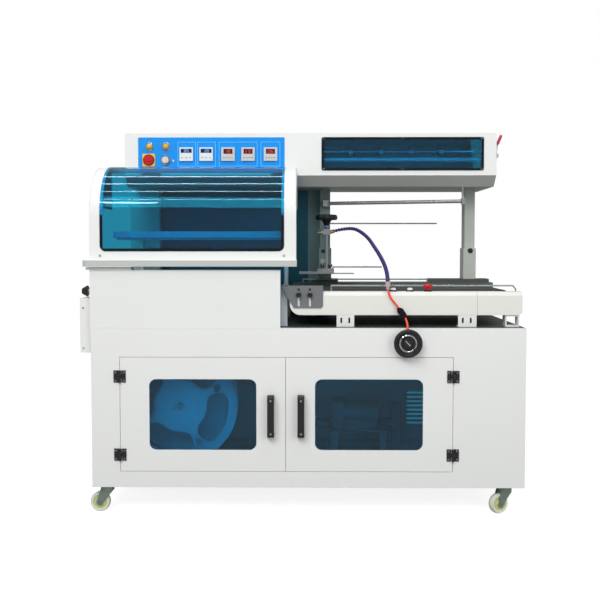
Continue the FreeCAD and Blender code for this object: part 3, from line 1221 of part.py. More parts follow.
def buttons():
    """Two domed push buttons and a mushroom stop on the front beam."""
    top = "dims.beam_high"
    for name, x in (("start", "dims.start_x"), ("stop", "dims.stop_x")):
        body = new_body(f"{name}_button")
        profile = new_sketch(body, f"{name}_profile", "XZ_Plane")
        outline(profile, (0, 5), [
            ((11, 5),), ((11, 9),), ((8, 12.9), (3, 14.5)), ((0, 14.5),), ((0, 5),)])
        revolve(body, profile, "V_Axis")
        locate(body, x, "dims.button_y", top)
    stop = new_body("estop_button")
    profile = new_sketch(stop, "estop_profile", "XZ_Plane")
    outline(profile, (0, 6), [
        ((10, 6),), ((10, 15),), ((17, 17),), ((18, 20),), ((14, 26), (5, 28)), ((0, 28),), ((0, 6),)])
    revolve(stop, profile, "V_Axis")
    locate(stop, "dims.estop_x", "dims.button_y", top)
    rings = []
    for name, x, rad, inner in (("start", "dims.start_x", 13.5, 11.4), ("stop", "dims.stop_x", 13.5, 11.4),
                                ("estop", "dims.estop_x", 15, 10.4)):
        high = 6 if name == "estop" else 5.5
        ring = rod(f"ring_{name}", "z", (x, "dims.button_y"), rad, (top, f"{top} + {high}"))
        hole = rod(f"ring_hole_{name}", "z", (x, "dims.button_y"), inner, (f"{top} - 1", f"{top} + 9"))
        rings.append(cut(f"ring_cut_{name}", ring, hole))
    beam = nodes.pop("infeed_front_beam")
    beam.Label = "beam_channel"
    keep(group("beam_with_rings", beam, *rings), "infeed_front_beam")


# ---------------------------------------------------------------- air line

HOSE_ROUTE = [(128, 105, 1064), (165, 92, 1073), (209, 60, 1076), (235, 28, 1064), (266, -22, 1036),
              (284, -66, 1004), (302, -122, 970), (315, -182, 937), (321, -232, 907), (321, -272, 884),
              (319, -302, 868)]
TUBE_ROUTES = [
    [(319, -302, 845), (323, -303, 822), (336, -304, 800), (352, -305, 783), (361, -306, 768)],
    [(383, -309, 738), (386, -324, 727), (388, -341, 714), (388, -353, 699), (388, -358, 682)],
]


def air_line():
    """Jointed air hose from the nozzle to a coupling, then soft tube to a bulkhead elbow."""
    tube, spine = bent_tube(HOSE_ROUTE, 5)
    lines = [tube]
    feature("air_hose", tube)
    report = [("air_hose", tube.Volume, math.pi * 25 * spine.Length)]
    tubes = []
    for route in TUBE_ROUTES:
        tube, spine = bent_tube(route, 4)
        tubes.append(tube)
        report.append(("air_tube", tube.Volume, math.pi * 16 * spine.Length))
    feature("air_tube", Part.makeCompound(tubes))
    lines += tubes
    for name, volume, expected in report:
        print(f"{name}: volume {volume:.0f}, section times length {expected:.0f}")
    for name, route in (("air_hose", HOSE_ROUTE), *(("air_tube", route) for route in TUBE_ROUTES)):
        print(name, "radii", [round(bend) for *_, bend in route_radii(route)])

    x, y = value("dims.guide_x"), value("dims.guide_y")
    clamp = 14
    nozzle = Part.makeCone(3, 7, 18, Vector(x - clamp - 24, y, 1058), Vector(1, 0, 0)).fuse(
        bar((x - clamp - 6, y, 1058), (x - clamp, y, 1058), 7))
    beside = Part.makeBox(60, 60, 60, Vector(x + clamp - 60, y - 30, 1030))
    start, ahead = Vector(*HOSE_ROUTE[0]), Vector(*HOSE_ROUTE[1])
    socket = bar(start - (ahead - start) * 0.6, start + (ahead - start) * 0.1, 8).cut(beside)
    end = Vector(*HOSE_ROUTE[-1])
    coupling = Part.makeCylinder(10, 20, Vector(end.x, end.y, 850)).fuse(
        Part.makeCylinder(6.5, 27, Vector(end.x, end.y, 841)))
    block = slab((352, -317, 770), [
        ((362, -317, 774),), ((374, -317, 770),), ((386, -317, 752),), ((390, -317, 742),),
        ((382, -317, 734),), ((368, -317, 740),), ((354, -317, 756),), ((352, -317, 770),)], (0, 14, 0))
    block = block.fuse(bar((361, -306, 772), (365, -308, 755), 7))
    block = block.fuse(bar((384, -311, 735), (378, -308, 747), 7))
    elbow = bar((388, -345, 670), (388, -358, 670), 7).fuse(bar((388, -358, 670), (388, -358, 685), 7))
    elbow = elbow.fuse(Part.makeSphere(7, Vector(388, -358, 670)))
    pieces = []
    for piece in (nozzle, socket, coupling, block, elbow):
        for line in lines:
            piece = piece.cut(line)
        pieces.append(piece.removeSplitter())
    feature("air_fittings", Part.makeCompound(pieces))


# ---------------------------------------------------------------- the machine

for build in (cabinet_shell, cabinet_front, cabinet_deck, inner_frame, doors, casters, waste_reel,
              handwheel, seal_section, side_box, infeed, outfeed, jaws, hood, upper_box,
              control_panel, film_drive, posts, support_brackets, slotted_bracket, clamp_knobs,
              film_guide, guide_rods, free_roller, buttons, air_line):
    build()
doc.recompute()

for item in doc.Objects:
    if {"Invalid", "Error"} & set(item.State):
        raise RuntimeError(f"{item.Name} is not sound: {item.State}")
for node, item in nodes.items():
    if item.Shape.isNull() or not item.Shape.isValid():
        raise RuntimeError(f"{node} has no sound shape")

os.makedirs("parts", exist_ok=True)
for node, item in nodes.items():
    item.Shape.exportStep(f"parts/{node}.step")
print(len(nodes), "sub-parts")
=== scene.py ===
import json
import math

import bmesh
import bpy
from mathutils import Matrix, Vector


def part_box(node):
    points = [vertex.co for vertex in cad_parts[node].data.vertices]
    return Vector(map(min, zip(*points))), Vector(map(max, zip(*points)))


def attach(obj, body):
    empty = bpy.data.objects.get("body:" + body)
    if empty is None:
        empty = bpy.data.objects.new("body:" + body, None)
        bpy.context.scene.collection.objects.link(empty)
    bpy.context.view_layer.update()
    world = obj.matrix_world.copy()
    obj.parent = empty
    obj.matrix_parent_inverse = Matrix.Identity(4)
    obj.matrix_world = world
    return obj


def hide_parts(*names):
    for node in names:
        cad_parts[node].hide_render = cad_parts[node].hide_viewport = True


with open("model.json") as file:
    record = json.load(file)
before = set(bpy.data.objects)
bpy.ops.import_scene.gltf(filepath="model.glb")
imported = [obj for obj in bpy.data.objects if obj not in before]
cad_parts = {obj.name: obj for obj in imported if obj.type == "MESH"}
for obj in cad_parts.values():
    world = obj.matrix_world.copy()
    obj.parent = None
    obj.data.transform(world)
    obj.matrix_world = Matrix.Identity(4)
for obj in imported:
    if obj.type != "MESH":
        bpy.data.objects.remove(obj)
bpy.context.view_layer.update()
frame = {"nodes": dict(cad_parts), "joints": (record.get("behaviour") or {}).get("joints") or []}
scene = bpy.context.scene

# ---------------------------------------------------------------- camera
# Eye height of a person standing in front of the machine, a long normal lens, tipped down a little.

eye = bpy.data.objects.new("eye", bpy.data.cameras.new("eye"))
eye.location = (0.022, -3.309, 1.002)
eye.rotation_euler = (math.radians(90 - 2.6), 0, math.radians(0.57))
eye.data.lens = 48.46
eye.data.sensor_width = 36
eye.data.shift_y = -0.0288
scene.collection.objects.link(eye)
scene.camera = eye

# ---------------------------------------------------------------- air tube
# Two short lengths of 8 mm orange polyurethane tube, cut square and pushed into fittings: the upper
# one from the jointed hose to a black coupler, the lower one on to an elbow behind the handwheel.

TUBE_WIDE = 0.008
TUBE_RUNS = {
    "air_tube_upper": ((0.319, -0.302, 0.845), (0.323, -0.303, 0.822), (0.336, -0.304, 0.800),
                       (0.352, -0.305, 0.783), (0.361, -0.306, 0.768)),
    "air_tube_lower": ((0.383, -0.309, 0.738), (0.386, -0.324, 0.727), (0.388, -0.341, 0.714),
                       (0.388, -0.353, 0.699), (0.388, -0.358, 0.682)),
}


def tone(red, green, blue):
    """A colour from 0 to 255 as it shows on a screen, in the linear values of a shader."""
    linear = []
    for part in (red / 255, green / 255, blue / 255):
        linear.append(((part + 0.055) / 1.055) ** 2.4 if part > 0.04045 else part / 12.92)
    return (*linear, 1)


def new_material(name, **constants):
    """A material with one Principled shader, with its constants on the shader's own sockets."""
    made = bpy.data.materials.new(name)
    made.use_nodes = True
    shader = made.node_tree.nodes["Principled BSDF"]
    for socket, value in constants.items():
        shader.inputs[socket.replace("_", " ")].default_value = value
    return made


def new_group(name, takes, gives):
    """A shader node group with named inputs and outputs; returns the tree and its two ends."""
    tree = bpy.data.node_groups.new(name, "ShaderNodeTree")
    for label, kind, value in takes:
        socket = tree.interface.new_socket(label, in_out="INPUT", socket_type=f"NodeSocket{kind}")
        socket.default_value = value
    for label, kind in gives:
        tree.interface.new_socket(label, in_out="OUTPUT", socket_type=f"NodeSocket{kind}")
    return tree, tree.nodes.new("NodeGroupInput"), tree.nodes.new("NodeGroupOutput")


def noise(tree, coordinates, scale, detail=3.0):
    """A noise texture on given coordinates; scale is a number or a socket."""
    node = tree.nodes.new("ShaderNodeTexNoise")
    node.inputs["Detail"].default_value = detail
    tree.links.new(coordinates, node.inputs["Vector"])
    if isinstance(scale, float):
        node.inputs["Scale"].default_value = scale
    else:
        tree.links.new(scale, node.inputs["Scale"])
    return node.outputs["Fac"]


def between(tree, factor, low, high, start=0.0, end=1.0):
    """A value spread from start..end to low..high; low and high are numbers or sockets."""
    node = tree.nodes.new("ShaderNodeMapRange")
    tree.links.new(factor, node.inputs["Value"])
    node.inputs["From Min"].default_value = start
    node.inputs["From Max"].default_value = end
    for label, value in (("To Min", low), ("To Max", high)):
        if isinstance(value, (int, float)):
            node.inputs[label].default_value = value
        else:
            tree.links.new(value, node.inputs[label])
    return node.outputs["Result"]


def blended(tree, factor, first, second):
    """One colour turning into another by a factor; colours are tuples or sockets."""
    node = tree.nodes.new("ShaderNodeMix")
    node.data_type = "RGBA"
    if isinstance(factor, float):
        node.inputs["Factor"].default_value = factor
    else:
        tree.links.new(factor, node.inputs["Factor"])
    for number, colour in ((6, first), (7, second)):
        if isinstance(colour, tuple):
            node.inputs[number].default_value = colour
        else:
            tree.links.new(colour, node.inputs[number])
    return node.outputs[2]


# The skin group gives any plain moulded, painted or cast surface its cloudy tone, uneven gloss,
# fine surface height and softened edges; it also paints edges lighter, a painted edge highlight
# that on dark plastic also stands for rubbed wear.
skin_tree, skin_in, skin_out = new_group("surface skin", [
    ("Tone", "Color", (0.8, 0.8, 0.8, 1)), ("Shade", "Color", (0.7, 0.7, 0.7, 1)),
    ("Cloud size", "Float", 4.0), ("Grain size", "Float", 700.0),
    ("Gloss", "Float", 0.3), ("Dull", "Float", 0.5), ("Edge", "Float", 0.0012),
    ("Worn", "Color", (0.9, 0.9, 0.9, 1)), ("Wear", "Float", 0.0)],
    [("Color", "Color"), ("Roughness", "Float"), ("Height", "Float"), ("Normal", "Vector")])
place = skin_tree.nodes.new("ShaderNodeTexCoord").outputs["Object"]
cloud = noise(skin_tree, place, skin_in.outputs["Cloud size"])
grain = noise(skin_tree, place, skin_in.outputs["Grain size"], 2.0)
rounding = skin_tree.nodes.new("ShaderNodeBevel")
rounding.samples = 4
skin_tree.links.new(skin_in.outputs["Edge"], rounding.inputs["Radius"])
facing = skin_tree.nodes.new("ShaderNodeNewGeometry")
agree = skin_tree.nodes.new("ShaderNodeVectorMath")
agree.operation = "DOT_PRODUCT"
skin_tree.links.new(rounding.outputs["Normal"], agree.inputs[0])
skin_tree.links.new(facing.outputs["Normal"], agree.inputs[1])
# edge mask: blends towards the lighter edge colour, a painted edge highlight (partly rubbed wear on dark plastic)
edge = between(skin_tree, agree.outputs["Value"], skin_in.outputs["Wear"], 0.0, 0.75, 0.97)
cloudy = blended(skin_tree, cloud, skin_in.outputs["Tone"], skin_in.outputs["Shade"])
skin_tree.links.new(blended(skin_tree, edge, cloudy, skin_in.outputs["Worn"]), skin_out.inputs["Color"])
skin_tree.links.new(between(skin_tree, cloud, skin_in.outputs["Gloss"], skin_in.outputs["Dull"], 0.3, 0.7),
                    skin_out.inputs["Roughness"])
skin_tree.links.new(grain, skin_out.inputs["Height"])
skin_tree.links.new(rounding.outputs["Normal"], skin_out.inputs["Normal"])


# The zone group tells whether a point of the piece lies inside a box given by two corners.
zone_tree, zone_in, zone_out = new_group("zone", [
    ("Low", "Vector", (-9, -9, -9)), ("High", "Vector", (9, 9, 9))], [("Inside", "Float")])
zone_place = zone_tree.nodes.new("ShaderNodeTexCoord").outputs["Object"]
least = []
for ends in ((zone_place, zone_in.outputs["Low"]), (zone_in.outputs["High"], zone_place)):
    apart = zone_tree.nodes.new("ShaderNodeVectorMath")
    apart.operation = "SUBTRACT"
    split = zone_tree.nodes.new("ShaderNodeSeparateXYZ")
    zone_tree.links.new(ends[0], apart.inputs[0])
    zone_tree.links.new(ends[1], apart.inputs[1])
    zone_tree.links.new(apart.outputs[0], split.inputs[0])
    least += [split.outputs[0], split.outputs[1], split.outputs[2]]
while len(least) > 1:
    lower = zone_tree.nodes.new("ShaderNodeMath")
    lower.operation = "MINIMUM"
    zone_tree.links.new(least.pop(0), lower.inputs[0])
    zone_tree.links.new(least.pop(0), lower.inputs[1])
    least.append(lower.outputs[0])
inside = zone_tree.nodes.new("ShaderNodeMath")
inside.operation = "GREATER_THAN"
inside.inputs[1].default_value = 0.0
zone_tree.links.new(least[0], inside.inputs[0])
zone_tree.links.new(inside.outputs[0], zone_out.inputs["Inside"])


def place_group(made, tree, **values):
    """Put a shader group in a material with its own values."""
    node = made.node_tree.nodes.new("ShaderNodeGroup")
    node.node_tree = tree
    for label, value in values.items():
        node.inputs[label.replace("_", " ")].default_value = value
    return node


def bump(made, height, depth, normal=None):
    """Feed a height through a Bump node to the shader's Normal."""
    node = made.node_tree.nodes.new("ShaderNodeBump")
    node.inputs["Strength"].default_value = 1.0
    node.inputs["Distance"].default_value = depth
    made.node_tree.links.new(height, node.inputs["Height"])
    if normal:
        made.node_tree.links.new(normal, node.inputs["Normal"])
    made.node_tree.links.new(node.outputs["Normal"],
                             made.node_tree.nodes["Principled BSDF"].inputs["Normal"])


def skinned(name, tone_a, tone_b, gloss, dull, grain_depth=0.00002, constants=None, **values):
    """A material whose whole finish comes from the surface skin group."""
    made = new_material(name, **(constants or {}))
    shader = made.node_tree.nodes["Principled BSDF"]
    node = place_group(made, skin_tree, Tone=tone_a, Shade=tone_b, Gloss=gloss, Dull=dull, **values)
    made.node_tree.links.new(node.outputs["Color"], shader.inputs["Base Color"])
    made.node_tree.links.new(node.outputs["Roughness"], shader.inputs["Roughness"])
    bump(made, node.outputs["Height"], grain_depth, node.outputs["Normal"])
    return made


def tinted(made, colour, low, high):
    """Paint the part of a material that lies between two corners in another colour."""
    tree = made.node_tree
    shader = tree.nodes["Principled BSDF"]
    before = shader.inputs["Base Color"].links[0].from_socket
    zone = place_group(made, zone_tree, Low=low, High=high)
    tree.links.new(blended(tree, zone.outputs["Inside"], before, colour), shader.inputs["Base Color"])
    return made


tube_orange = skinned("orange polyurethane tube", tone(246, 96, 66), tone(232, 78, 50), 0.22, 0.34,
                      constants={"Subsurface_Weight": 0.15, "Subsurface_Scale": 0.004},
                      Cloud_size=40.0)


def curve_piece(name, points, width, material, body):
    """A round cord along one smooth spline."""
    curve = bpy.data.curves.new(name, "CURVE")
    curve.dimensions = "3D"
    curve.resolution_u = 16
    spline = curve.splines.new("NURBS")
    spline.points.add(len(points) - 1)
    for point, spot in zip(spline.points, points):
        point.co = (*spot, 1)
    spline.order_u = 3
    spline.use_endpoint_u = True
    curve.bevel_depth = width / 2
    curve.bevel_resolution = 5
    curve.use_fill_caps = True
    curve.materials.append(material)
    piece = bpy.data.objects.new(name, curve)
    scene.collection.objects.link(piece)
    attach(piece, body)
    return piece


for name, run in TUBE_RUNS.items():
    tube = curve_piece(name, run, TUBE_WIDE, tube_orange, "machine")
    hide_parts("air_tube")

# ---------------------------------------------------------------- cabinet
# Folded steel sheet, 3 mm, powder coated in a slightly cool white: a shell with floor and back,
# a front with the door opening, and a deck plate on top.

# the lighter edge colour of this white coat is a painted edge highlight
white_coat = skinned("white powder coat", tone(231, 232, 230), tone(226, 228, 226), 0.36, 0.46,
                     Cloud_size=2.2, Grain_size=900.0, Worn=tone(240, 240, 238), Wear=0.5)


def dress(material, *nodes):
    """Give carried-over nodes a finish."""
    for node in nodes:
        slots = frame["nodes"][node].material_slots
        for slot in slots:
            slot.material = material


dress(white_coat, "cabinet_shell", "cabinet_front")
# The deck is the cabinet's white coat: the dark green-grey over most of it is painted shade under the parts
# above, and only its front strip shows the coat's own white.
deck_coat_painted_shade = skinned("deck coat with painted shade", tone(72, 82, 76), tone(60, 70, 64), 0.45, 0.6, Cloud_size=4.0)
tinted(deck_coat_painted_shade, tone(228, 229, 227), (-0.9, -0.4, 0.6), (0.9, -0.335, 0.71))
dress(deck_coat_painted_shade, "cabinet_deck")

# ---------------------------------------------------------------- inner frame
# Square tube posts, the reel's axle and a drive unit on its shelf, in grey hammered paint.

grey_coat = skinned("grey machine paint", tone(176, 182, 180), tone(150, 158, 156), 0.35, 0.5,
                    Cloud_size=6.0, Grain_size=500.0)
dress(grey_coat, "inner_frame")

# ---------------------------------------------------------------- doors
# Two folded leaves in the cabinet's white, each with a tinted acrylic pane behind a rounded
# opening, black cast hinges and a black bow handle screwed on.

dress(white_coat, "door_left", "door_right")
acrylic = new_material("blue tinted acrylic", Base_Color=(0.014, 0.61, 0.96, 1), Roughness=0.02,
                       IOR=1.49, Transmission_Weight=1.0)
dress(acrylic, "door_left_pane", "door_right_pane")
# lighter edges on the black plastic: partly rubbed wear, partly painted edge highlight
black_cast = skinned("black moulded plastic", tone(26, 26, 28), tone(36, 36, 38), 0.32, 0.48,
                     Cloud_size=20.0, Worn=tone(70, 70, 72), Wear=0.4)
dress(black_cast, "hinge_leaves", "door_left_hardware", "door_right_hardware")

# ---------------------------------------------------------------- screws
# Zinc plated socket head screws, each turned to its own angle: in the hinges, the door handles,
# the hood's corners, the film window and the side box.

bright_zinc = skinned("bright zinc plate", tone(206, 208, 206), tone(184, 187, 186), 0.2, 0.34,
                      constants={"Metallic": 1.0}, Cloud_size=60.0)


def new_geometry_tree(name, inputs):
    """A Geometry Nodes tree with a geometry in and out and named inputs for its sizes."""
    tree = bpy.data.node_groups.new(name, "GeometryNodeTree")
    tree.interface.new_socket("Geometry", in_out="INPUT", socket_type="NodeSocketGeometry")
    tree.interface.new_socket("Geometry", in_out="OUTPUT", socket_type="NodeSocketGeometry")
    for label, kind in inputs:
        tree.interface.new_socket(label, in_out="INPUT", socket_type=f"NodeSocket{kind}")
    return tree, tree.nodes.new("NodeGroupInput"), tree.nodes.new("NodeGroupOutput")


def add_node(tree, kind, links=None, **settings):
    """A node with its settings; links map an input's name or number to a socket or a value."""
    node = tree.nodes.new(kind)
    for label, value in settings.items():
        setattr(node, label, value)
    for label, value in (links or {}).items():
        if isinstance(value, bpy.types.NodeSocket):
            tree.links.new(value, node.inputs[label])
        else:
            node.inputs[label].default_value = value
    return node


def multiplied(tree, value, factor):
    """A socket's value times a number."""
    node = add_node(tree, "ShaderNodeMath", {0: value, 1: factor}, operation="MULTIPLY")
    return node.outputs[0]


screw_tree, given, made_of = new_geometry_tree("screws at points", [
    ("Head radius", "Float"), ("Head height", "Float"), ("Seed", "Int"), ("Material", "Material")])
radius, height = given.outputs["Head radius"], given.outputs["Head height"]
head = add_node(screw_tree, "GeometryNodeMeshCylinder",
                {"Vertices": 24, "Radius": radius, "Depth": height})
crown = add_node(screw_tree, "GeometryNodeMeshCone", {
    "Vertices": 24, "Radius Top": multiplied(screw_tree, radius, 0.8), "Radius Bottom": radius,
    "Depth": multiplied(screw_tree, height, 0.3)})
raised = add_node(screw_tree, "GeometryNodeTransform", {"Geometry": crown.outputs["Mesh"]})
lift = add_node(screw_tree, "ShaderNodeCombineXYZ", {"Z": multiplied(screw_tree, height, 0.49)})
screw_tree.links.new(lift.outputs[0], raised.inputs["Translation"])
whole = add_node(screw_tree, "GeometryNodeMeshBoolean", operation="UNION")
screw_tree.links.new(head.outputs["Mesh"], whole.inputs["Mesh 2"])
screw_tree.links.new(raised.outputs[0], whole.inputs["Mesh 2"])
key_hole = add_node(screw_tree, "GeometryNodeMeshCylinder", {
    "Vertices": 6, "Radius": multiplied(screw_tree, radius, 0.5), "Depth": height})
sunk = add_node(screw_tree, "GeometryNodeTransform", {"Geometry": key_hole.outputs["Mesh"]})
depth = add_node(screw_tree, "ShaderNodeCombineXYZ", {"Z": multiplied(screw_tree, height, 0.75)})
screw_tree.links.new(depth.outputs[0], sunk.inputs["Translation"])
hollow = add_node(screw_tree, "GeometryNodeMeshBoolean", operation="DIFFERENCE")
screw_tree.links.new(whole.outputs["Mesh"], hollow.inputs["Mesh 1"])
screw_tree.links.new(sunk.outputs[0], hollow.inputs["Mesh 2"])
aim = add_node(screw_tree, "GeometryNodeInputNamedAttribute", {"Name": "aim"},
               data_type="FLOAT_VECTOR")
upright = add_node(screw_tree, "FunctionNodeAlignRotationToVector",
                   {"Vector": aim.outputs["Attribute"]}, axis="Z")
chance = add_node(screw_tree, "FunctionNodeRandomValue",
                  {"Seed": given.outputs["Seed"]}, data_type="FLOAT")
spin = add_node(screw_tree, "ShaderNodeCombineXYZ",
                {"Z": multiplied(screw_tree, chance.outputs[1], math.pi)})
spun = add_node(screw_tree, "FunctionNodeEulerToRotation", {"Euler": spin.outputs[0]})
turned_own = add_node(screw_tree, "FunctionNodeRotateRotation", {
    "Rotation": upright.outputs[0], "Rotate By": spun.outputs[0]}, rotation_space="LOCAL")
placed = add_node(screw_tree, "GeometryNodeInstanceOnPoints", {
    "Points": given.outputs["Geometry"], "Instance": hollow.outputs["Mesh"],
    "Rotation": turned_own.outputs[0]})
solid = add_node(screw_tree, "GeometryNodeRealizeInstances", {"Geometry": placed.outputs[0]})
coated = add_node(screw_tree, "GeometryNodeSetMaterial", {
    "Geometry": solid.outputs[0], "Material": given.outputs["Material"]})
screw_tree.links.new(coated.outputs[0], made_of.inputs["Geometry"])


def grown(name, mesh, tree, body, slot_name, **inputs):
    """Run a Geometry Nodes tree on a mesh and keep what it makes as a plain piece on a body."""
    piece = bpy.data.objects.new(name, mesh)
    scene.collection.objects.link(piece)
    growth = piece.modifiers.new("growth", "NODES")
    growth.node_group = tree
    for item in tree.interface.items_tree:
        label = item.name.replace(" ", "_")
        if item.in_out == "INPUT" and label in inputs:
            growth[item.identifier] = inputs[label]
    piece.update_tag()
    bpy.context.view_layer.update()
    result = bpy.data.meshes.new_from_object(piece.evaluated_get(bpy.context.evaluated_depsgraph_get()))
    piece.modifiers.clear()
    piece.data = result
    result.name = name
    bpy.data.meshes.remove(mesh)
    result.shade_smooth()
    result.set_sharp_from_angle(angle=math.radians(35))
    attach(piece, body)
    return piece


def screws(name, body, spots, head_radius, head_height=0.0012, aim=(0, -1, 0), material=bright_zinc):
    """One piece of equal screws whose heads stand on the given spots."""
    mesh = bpy.data.meshes.new(f"{name} spots")
    mesh.from_pydata([tuple(spot) for spot in spots], [], [])
    direction = mesh.attributes.new("aim", "FLOAT_VECTOR", "POINT")
    for entry in direction.data:
        entry.vector = aim
    return grown(name, mesh, screw_tree, body, "zinc", Head_radius=head_radius,
                 Head_height=head_height, Seed=len(spots), Material=material)


LEAF_FACE = -0.348
hinge_levels = (0.228, 0.520)
for side, edge, inward in (("left", -0.67475, 1), ("right", 0.55775, -1)):
    low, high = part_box(f"door_{side}_hardware")
    handle_x = {"left": -0.115, "right": -0.004}[side]
    for part, across, body in (("leaf", inward, f"door_{side}"), ("jamb", -inward, "machine")):
        screws(f"hinge_screws_{side}_{part}", body,
               [(edge + across * 0.0155, LEAF_FACE, level + step)
                for level in hinge_levels for step in (-0.0155, 0.0155)], 0.0034)
    screws(f"handle_screws_{side}", f"door_{side}",
           [(handle_x, low.y, level) for level in (0.3135, 0.4355)], 0.0042, 0.0014)
screws("hood_screws", "hood", [(-0.7435, -0.345, 0.967), (-0.0665, -0.345, 0.967)], 0.0045)
low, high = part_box("film_window")
screws("film_window_screws", "machine",
       [(across, low.y, level) for across in (low.x + 0.009, (low.x + high.x) / 2, high.x - 0.009)
        for level in (low.z + 0.006, high.z - 0.006)], 0.0036)
low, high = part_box("side_box")
screws("side_box_screws", "machine", [(low.x + 0.012, low.y, high.z - 0.036),
                                      (low.x + 0.012, low.y, low.z + 0.016)], 0.004)

# ---------------------------------------------------------------- casters
# Bought-in swivel casters: pressed zinc-plated forks and top plates, and wheels with a cream
# polyurethane tyre cast on a yellowish nylon centre that turns on a plated axle sleeve.

zinc = skinned("zinc plated steel", tone(160, 176, 164), tone(132, 148, 138), 0.3, 0.5,
               constants={"Metallic": 0.75}, Cloud_size=30.0)
tread = skinned("cream polyurethane", tone(232, 234, 214), tone(218, 220, 198), 0.4, 0.6,
                Cloud_size=25.0)
nylon = skinned("yellowish nylon", tone(206, 214, 156), tone(192, 200, 140), 0.35, 0.5,
                Cloud_size=30.0)


def shaped(profile, base, aim, bm, material=0, steps=40, lobes=0, wave=0.0):
    """Turn a profile of (radius, height) points round a line; lobes wave the rim in and out."""
    upright = Vector((0, 0, 1)).rotation_difference(Vector(aim)).to_matrix()
    rings = []
    for radius, along in profile:
        ring = []
        for number in range(steps if radius else 1):
            angle = 2 * math.pi * number / steps
            reach = radius * (1 - wave * (1 - math.cos(lobes * angle)) / 2)
            spot = Vector((reach * math.cos(angle), reach * math.sin(angle), along))
            ring.append(bm.verts.new(Vector(base) + upright @ spot))
        rings.append(ring)
    for near, far in zip(rings, rings[1:]):
        for number in range(steps):
            corners = [near[number % len(near)], near[(number + 1) % len(near)],
                       far[(number + 1) % len(far)], far[number % len(far)]]
            face = bm.faces.new(list(dict.fromkeys(corners)))
            face.material_index = material


def slab(low, high, bm, soft=0.0, material=0, turn=None):
    """A block between two corners with softened edges; turn is a matrix applied to it."""
    middle = (Vector(low) + Vector(high)) / 2
    size = Vector(high) - Vector(low)
    made = bmesh.ops.create_cube(bm, size=1)["verts"]
    bmesh.ops.scale(bm, verts=made, vec=size)
    bmesh.ops.translate(bm, verts=made, vec=middle)
    if turn:
        bmesh.ops.transform(bm, matrix=turn, verts=made)
    for face in {face for vert in made for face in vert.link_faces}:
        face.material_index = material
    if soft:
        edges = list({edge for vert in made for edge in vert.link_edges})
        bmesh.ops.bevel(bm, geom=edges, offset=soft, segments=3, profile=0.5, affect="EDGES")


def finished(name, bm, materials, body, stands_for=()):
    """Close a build of solids into a piece that rides a body."""
    bmesh.ops.recalc_face_normals(bm, faces=bm.faces)
    mesh = bpy.data.meshes.new(name)
    bm.to_mesh(mesh)
    bm.free()
    for material in materials:
        mesh.materials.append(material)
    mesh.shade_smooth()
    mesh.set_sharp_from_angle(angle=math.radians(35))
    piece = bpy.data.objects.new(name, mesh)
    scene.collection.objects.link(piece)
    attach(piece, body)
    if stands_for:
        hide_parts(*stands_for)
    return piece


WHEEL_RADIUS, WHEEL_WIDE = 0.0375, 0.026
WEB_RADIUS, BOSS_RADIUS, SLEEVE_RADIUS = 0.0255, 0.0115, 0.0055
CORNERS = ("front_left", "front_right", "rear_left", "rear_right")
joints = {joint["name"]: joint for joint in frame["joints"]}
for corner in CORNERS:
    dress(zinc, f"fork_{corner}")
    axle = joints[f"roll_{corner}"]
    half = WHEEL_WIDE / 2
    wheel = bmesh.new()
    shaped([(WEB_RADIUS, -half + 0.0015), (0.034, -half), (WHEEL_RADIUS - 0.001, -half + 0.004),
            (WHEEL_RADIUS, 0), (WHEEL_RADIUS - 0.001, half - 0.004), (0.034, half),
            (WEB_RADIUS, half - 0.0015), (WEB_RADIUS, -half + 0.0015)],
           axle["pos_m"], axle["axis"], wheel, 0, 56)
    shaped([(SLEEVE_RADIUS, -half + 0.0005), (BOSS_RADIUS, -half + 0.0005), (BOSS_RADIUS + 0.001, -half + 0.004),
            (WEB_RADIUS - 0.002, -half + 0.005), (WEB_RADIUS, -half + 0.002), (WEB_RADIUS, half - 0.002),
            (WEB_RADIUS - 0.002, half - 0.005), (BOSS_RADIUS + 0.001, half - 0.004), (BOSS_RADIUS, half - 0.0005),
            (SLEEVE_RADIUS, half - 0.0005), (SLEEVE_RADIUS, -half + 0.0005)],
           axle["pos_m"], axle["axis"], wheel, 1, 40)
    finished(f"caster_wheel_{corner}", wheel, [tread, nylon], f"wheel_{corner}",
             [f"wheel_{corner}"])
dress(zinc, "caster_plates")

# ---------------------------------------------------------------- waste reel
# The film waste reel is cut from white sheet plastic.

white_plastic = skinned("white plastic", tone(226, 230, 230), tone(214, 220, 222), 0.3, 0.45,
                        Cloud_size=8.0)
dress(white_plastic, "waste_reel")

# ---------------------------------------------------------------- handwheel
# A dished wheel of black phenolic with a thick rim, a chrome ring on its disc, a black centre dial
# with a light pointer, and a grip on a plated pin.

chrome = skinned("chrome plate", tone(214, 216, 218), tone(196, 199, 202), 0.06, 0.14,
                 constants={"Metallic": 1.0}, Cloud_size=20.0)
cabinet_face = -0.345
hub = Vector((0.387, cabinet_face, 0.647))
forward = (0, -1, 0)
wheel = bmesh.new()
shaped([(0, -0.020), (0.007, -0.020), (0.007, 0.0064), (0.015, 0.0064), (0.015, 0.021), (0.030, 0.021),
        (0.037, 0.0245), (0.044, 0.0262), (0.0495, 0.0290), (0.0525, 0.0337), (0.0495, 0.0385),
        (0.045, 0.0405), (0.040, 0.0385), (0.0365, 0.0335), (0.030, 0.0310), (0.026, 0.0290),
        (0.019, 0.0290), (0.0185, 0.0335), (0.017, 0.0350), (0, 0.0350)], hub, forward, wheel, 0, 72)
shaped([(0.0265, 0.0285), (0.0335, 0.0315), (0.0330, 0.0345), (0.0300, 0.0360), (0.0270, 0.0345),
        (0.0265, 0.0285)], hub, forward, wheel, 1, 72)
tilt = Matrix.Translation(hub) @ Matrix.Rotation(math.radians(-45), 4, "Y")
slab((-0.003, -0.0358, -0.012), (0.003, -0.0345, 0.015), wheel, 0.0005, 1, tilt)
